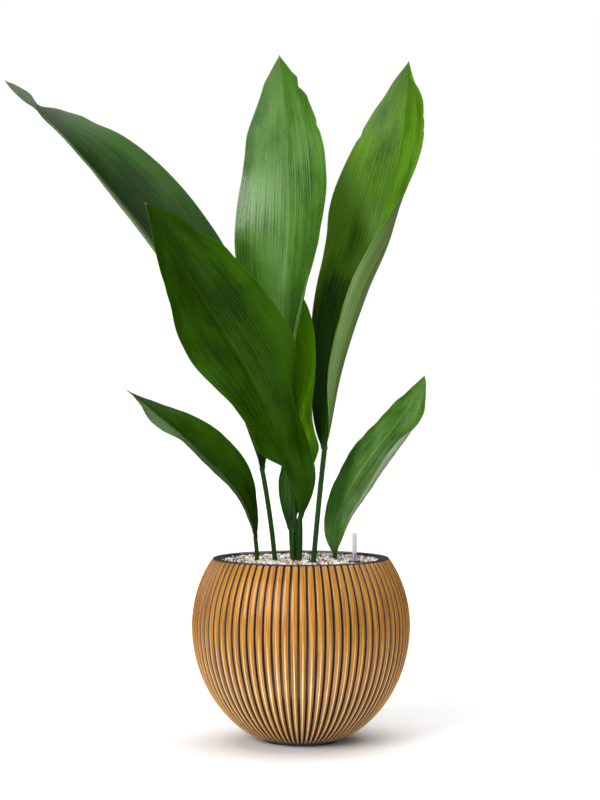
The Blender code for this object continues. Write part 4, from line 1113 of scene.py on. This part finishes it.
def gauge_scale(centre):
    """A curved grey-white scale at the back of the clear tube, two yellow marks on its front."""
    card = plastic("gauge_scale_card", (0.78, 0.76, 0.79), (0.88, 0.86, 0.89), 0.5, scale=700.0)
    mark = plastic("gauge_mark_paint", (0.75, 0.40, 0.01), (0.95, 0.60, 0.04), 0.45, scale=900.0)
    columns = 24
    strips = [(2.08, 1.92, 241.0, 274.0, 0, 180, 0)]
    strips += [(3.03, 2.97, level - MARK_HALF_HEIGHT, level + MARK_HALF_HEIGHT, 240, 300, 1)
               for level in SCALE_MARKS]
    verts, faces, mats = [], [], []
    for outer, inner, low, high, start, end, paint in strips:
        made = tube_faces(columns, 4, len(verts))
        faces += made
        mats += [paint] * len(made)
        for k, angle in enumerate(np.radians(np.linspace(start, end, columns))):
            point = 1.0 - abs(2 * k / (columns - 1) - 1) if paint else 1.0
            top = low + (high - low) * max(point, 0.02)
            for radius, level in ((outer, low), (outer, top), (inner, top), (inner, low)):
                verts.append((centre[0] + radius * math.cos(angle),
                              centre[1] + radius * math.sin(angle), level))
    obj = make_mesh("gauge_scale_strip", verts, faces, [card, mark], 35, face_mats=mats)
    finish_piece(obj, PLANT, "gauge_sight")


def rhizome_material():
    """A knobbly brown stem: pale ring scars across it, fibres and soil stains."""
    n = Nodes("rhizome_bark")
    place = n.place()
    rings = n.add("ShaderNodeTexWave", {"Vector": place, "Scale": 60.0, "Distortion": 6.0,
                                        "Detail": 3.0}).outputs["Fac"]
    fibre = n.noise(place, 500.0, 4.0, 0.6)
    soil = n.noise(place, 90.0, 3.0)
    colour = n.tint((0.20, 0.11, 0.05), (0.44, 0.28, 0.15), fibre, 0.3, 0.7)
    colour = n.tint(colour, (0.58, 0.42, 0.26), rings, 0.75, 0.95, 0.0, 0.7)
    colour = n.tint(colour, (0.08, 0.05, 0.03), soil, 0.5, 0.7, 0.0, 0.6)
    n.set(Base_Color=colour, Roughness=n.span(fibre, 0.2, 0.8, 0.75, 0.95),
          Normal=n.bump(n.plus(fibre, rings), 0.0006, 0.8))
    return n.mat


# ---------------------------------------------------------------- scene
# Far wide lights, in metres and degrees: where each stands, the angle it fills, its strength.
FAR_LIGHTS = {
    "key_left": ((-0.72, -0.80, 0.55), 34, 2.3),
    "fill_right": ((0.85, -0.35, 0.55), 40, 0.3),
    "top": ((0.05, 0.20, 1.0), 80, 3.0),
    "front": ((-0.35, -1.0, 0.25), 50, 0.9),
}
STRIP_PLACE = (-0.30, -1.9, 0.75)
CARD_PLACE = (-0.03, -0.66, 0.004)
CARD_WIDTH = 0.06
CAMERA_PLACE = (-0.00126, -2.45, 0.4517)
CAMERA_LENS = 82.85
BACKDROP_RADIUS = 9400
BACKDROP_TOP = 9000


def add_light(name, kind, place, rotation, **settings):
    data = bpy.data.lights.new(name, kind)
    for key, value in settings.items():
        setattr(data, key, value)
    obj = bpy.data.objects.new(name, data)
    obj.location = place
    obj.rotation_euler = rotation
    bpy.context.scene.collection.objects.link(obj)
    return obj


def facing(direction):
    """The turn that makes a light shine in a direction."""
    return direction.to_track_quat("-Z", "Y").to_euler()


def gloss_card(name, place, rotation, length, power):
    """A narrow glowing card that only glossy faces mirror; it stays out of the picture."""
    card = add_light(name, "AREA", place, rotation, shape="RECTANGLE", size=CARD_WIDTH,
                     size_y=length, energy=power)
    card.visible_camera = False
    card.visible_diffuse = False


def studio_lights():
    """Wide soft lights, a tall card in front and one that lies on the floor, facing up."""
    for name, (toward, width, strength) in FAR_LIGHTS.items():
        light = add_light(name, "SUN", Vector(toward) * 3, facing(-Vector(toward)),
                          angle=math.radians(width), energy=strength)
        light.visible_glossy = name != "front"
    middle = Vector((0, 0, STRIP_PLACE[2]))
    gloss_card("strip_front", STRIP_PLACE, facing(middle - Vector(STRIP_PLACE)), 2.4, 6.0)
    gloss_card("low_card", CARD_PLACE, (math.pi, 0, 0), 1.0, 1.0)


def studio_floor():
    """A plain pale floor, wide enough to reach the horizon."""
    n = Nodes("studio_floor")
    paper = n.noise(n.place(), 30.0, 3.0)
    n.set(Base_Color=n.mix(paper, (0.93, 0.93, 0.93), (0.97, 0.97, 0.97)),
          Roughness=n.span(paper, 0.3, 0.7, 0.85, 0.95))
    half = 9500
    verts = [(-half, -half, 0), (half, -half, 0), (half, half, 0), (-half, half, 0)]
    floor = make_mesh("studio_floor", verts, [(0, 1, 2, 3)], [n.mat])
    floor.visible_glossy = False


def studio_backdrop():
    """A plain white round backdrop: it shows behind the plant and throws no light on it."""
    mat = bpy.data.materials.new("studio_backdrop")
    mat.use_nodes = True
    tree = mat.node_tree
    tree.nodes.clear()
    glow = tree.nodes.new("ShaderNodeEmission")
    out = tree.nodes.new("ShaderNodeOutputMaterial")
    tree.links.new(glow.outputs[0], out.inputs[0])
    angles = [2 * math.pi * i / 64 for i in range(64)]
    verts = [(radius * math.cos(a), radius * math.sin(a), level) for radius, level in
             ((BACKDROP_RADIUS, -20), (BACKDROP_RADIUS, BACKDROP_TOP), (10, BACKDROP_TOP))
             for a in angles]
    backdrop = make_mesh("studio_backdrop", verts, ring_faces(3, len(angles)), [mat])
    for ray in ("diffuse", "glossy", "volume_scatter", "shadow"):
        setattr(backdrop, "visible_" + ray, False)


def studio():
    """A pale floor, a white backdrop, soft lights and the camera."""
    scene = bpy.context.scene
    world = bpy.data.worlds.new("studio")
    world.use_nodes = True
    sky = world.node_tree.nodes["Background"].inputs
    sky["Color"].default_value = (1.0, 1.0, 1.0, 1.0)
    sky["Strength"].default_value = 0.05
    scene.world = world
    scene.view_settings.view_transform = "Standard"
    studio_floor()
    studio_backdrop()
    studio_lights()
    camera = bpy.data.cameras.new("camera")
    camera.lens = CAMERA_LENS
    camera.sensor_width = 36.0
    obj = bpy.data.objects.new("camera", camera)
    obj.location = CAMERA_PLACE
    obj.rotation_euler = (math.radians(90), 0, 0)
    scene.collection.objects.link(obj)
    scene.camera = obj


def main():
    low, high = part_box("gauge_collar")
    centre = ((low.x + high.x) / 2 / MM, (low.y + high.y) / 2 / MM)
    planter()
    for index, (name, look) in enumerate(LEAF_LOOKS.items()):
        leaf(name, index, leaf_material(name + "_blade", look))
    young_sheath()
    dry_sheath()
    gauge(centre)
    dress("rhizome", rhizome_material())
    stones(centre)
    dress("granule_bed", bed_material())
    studio()


main()
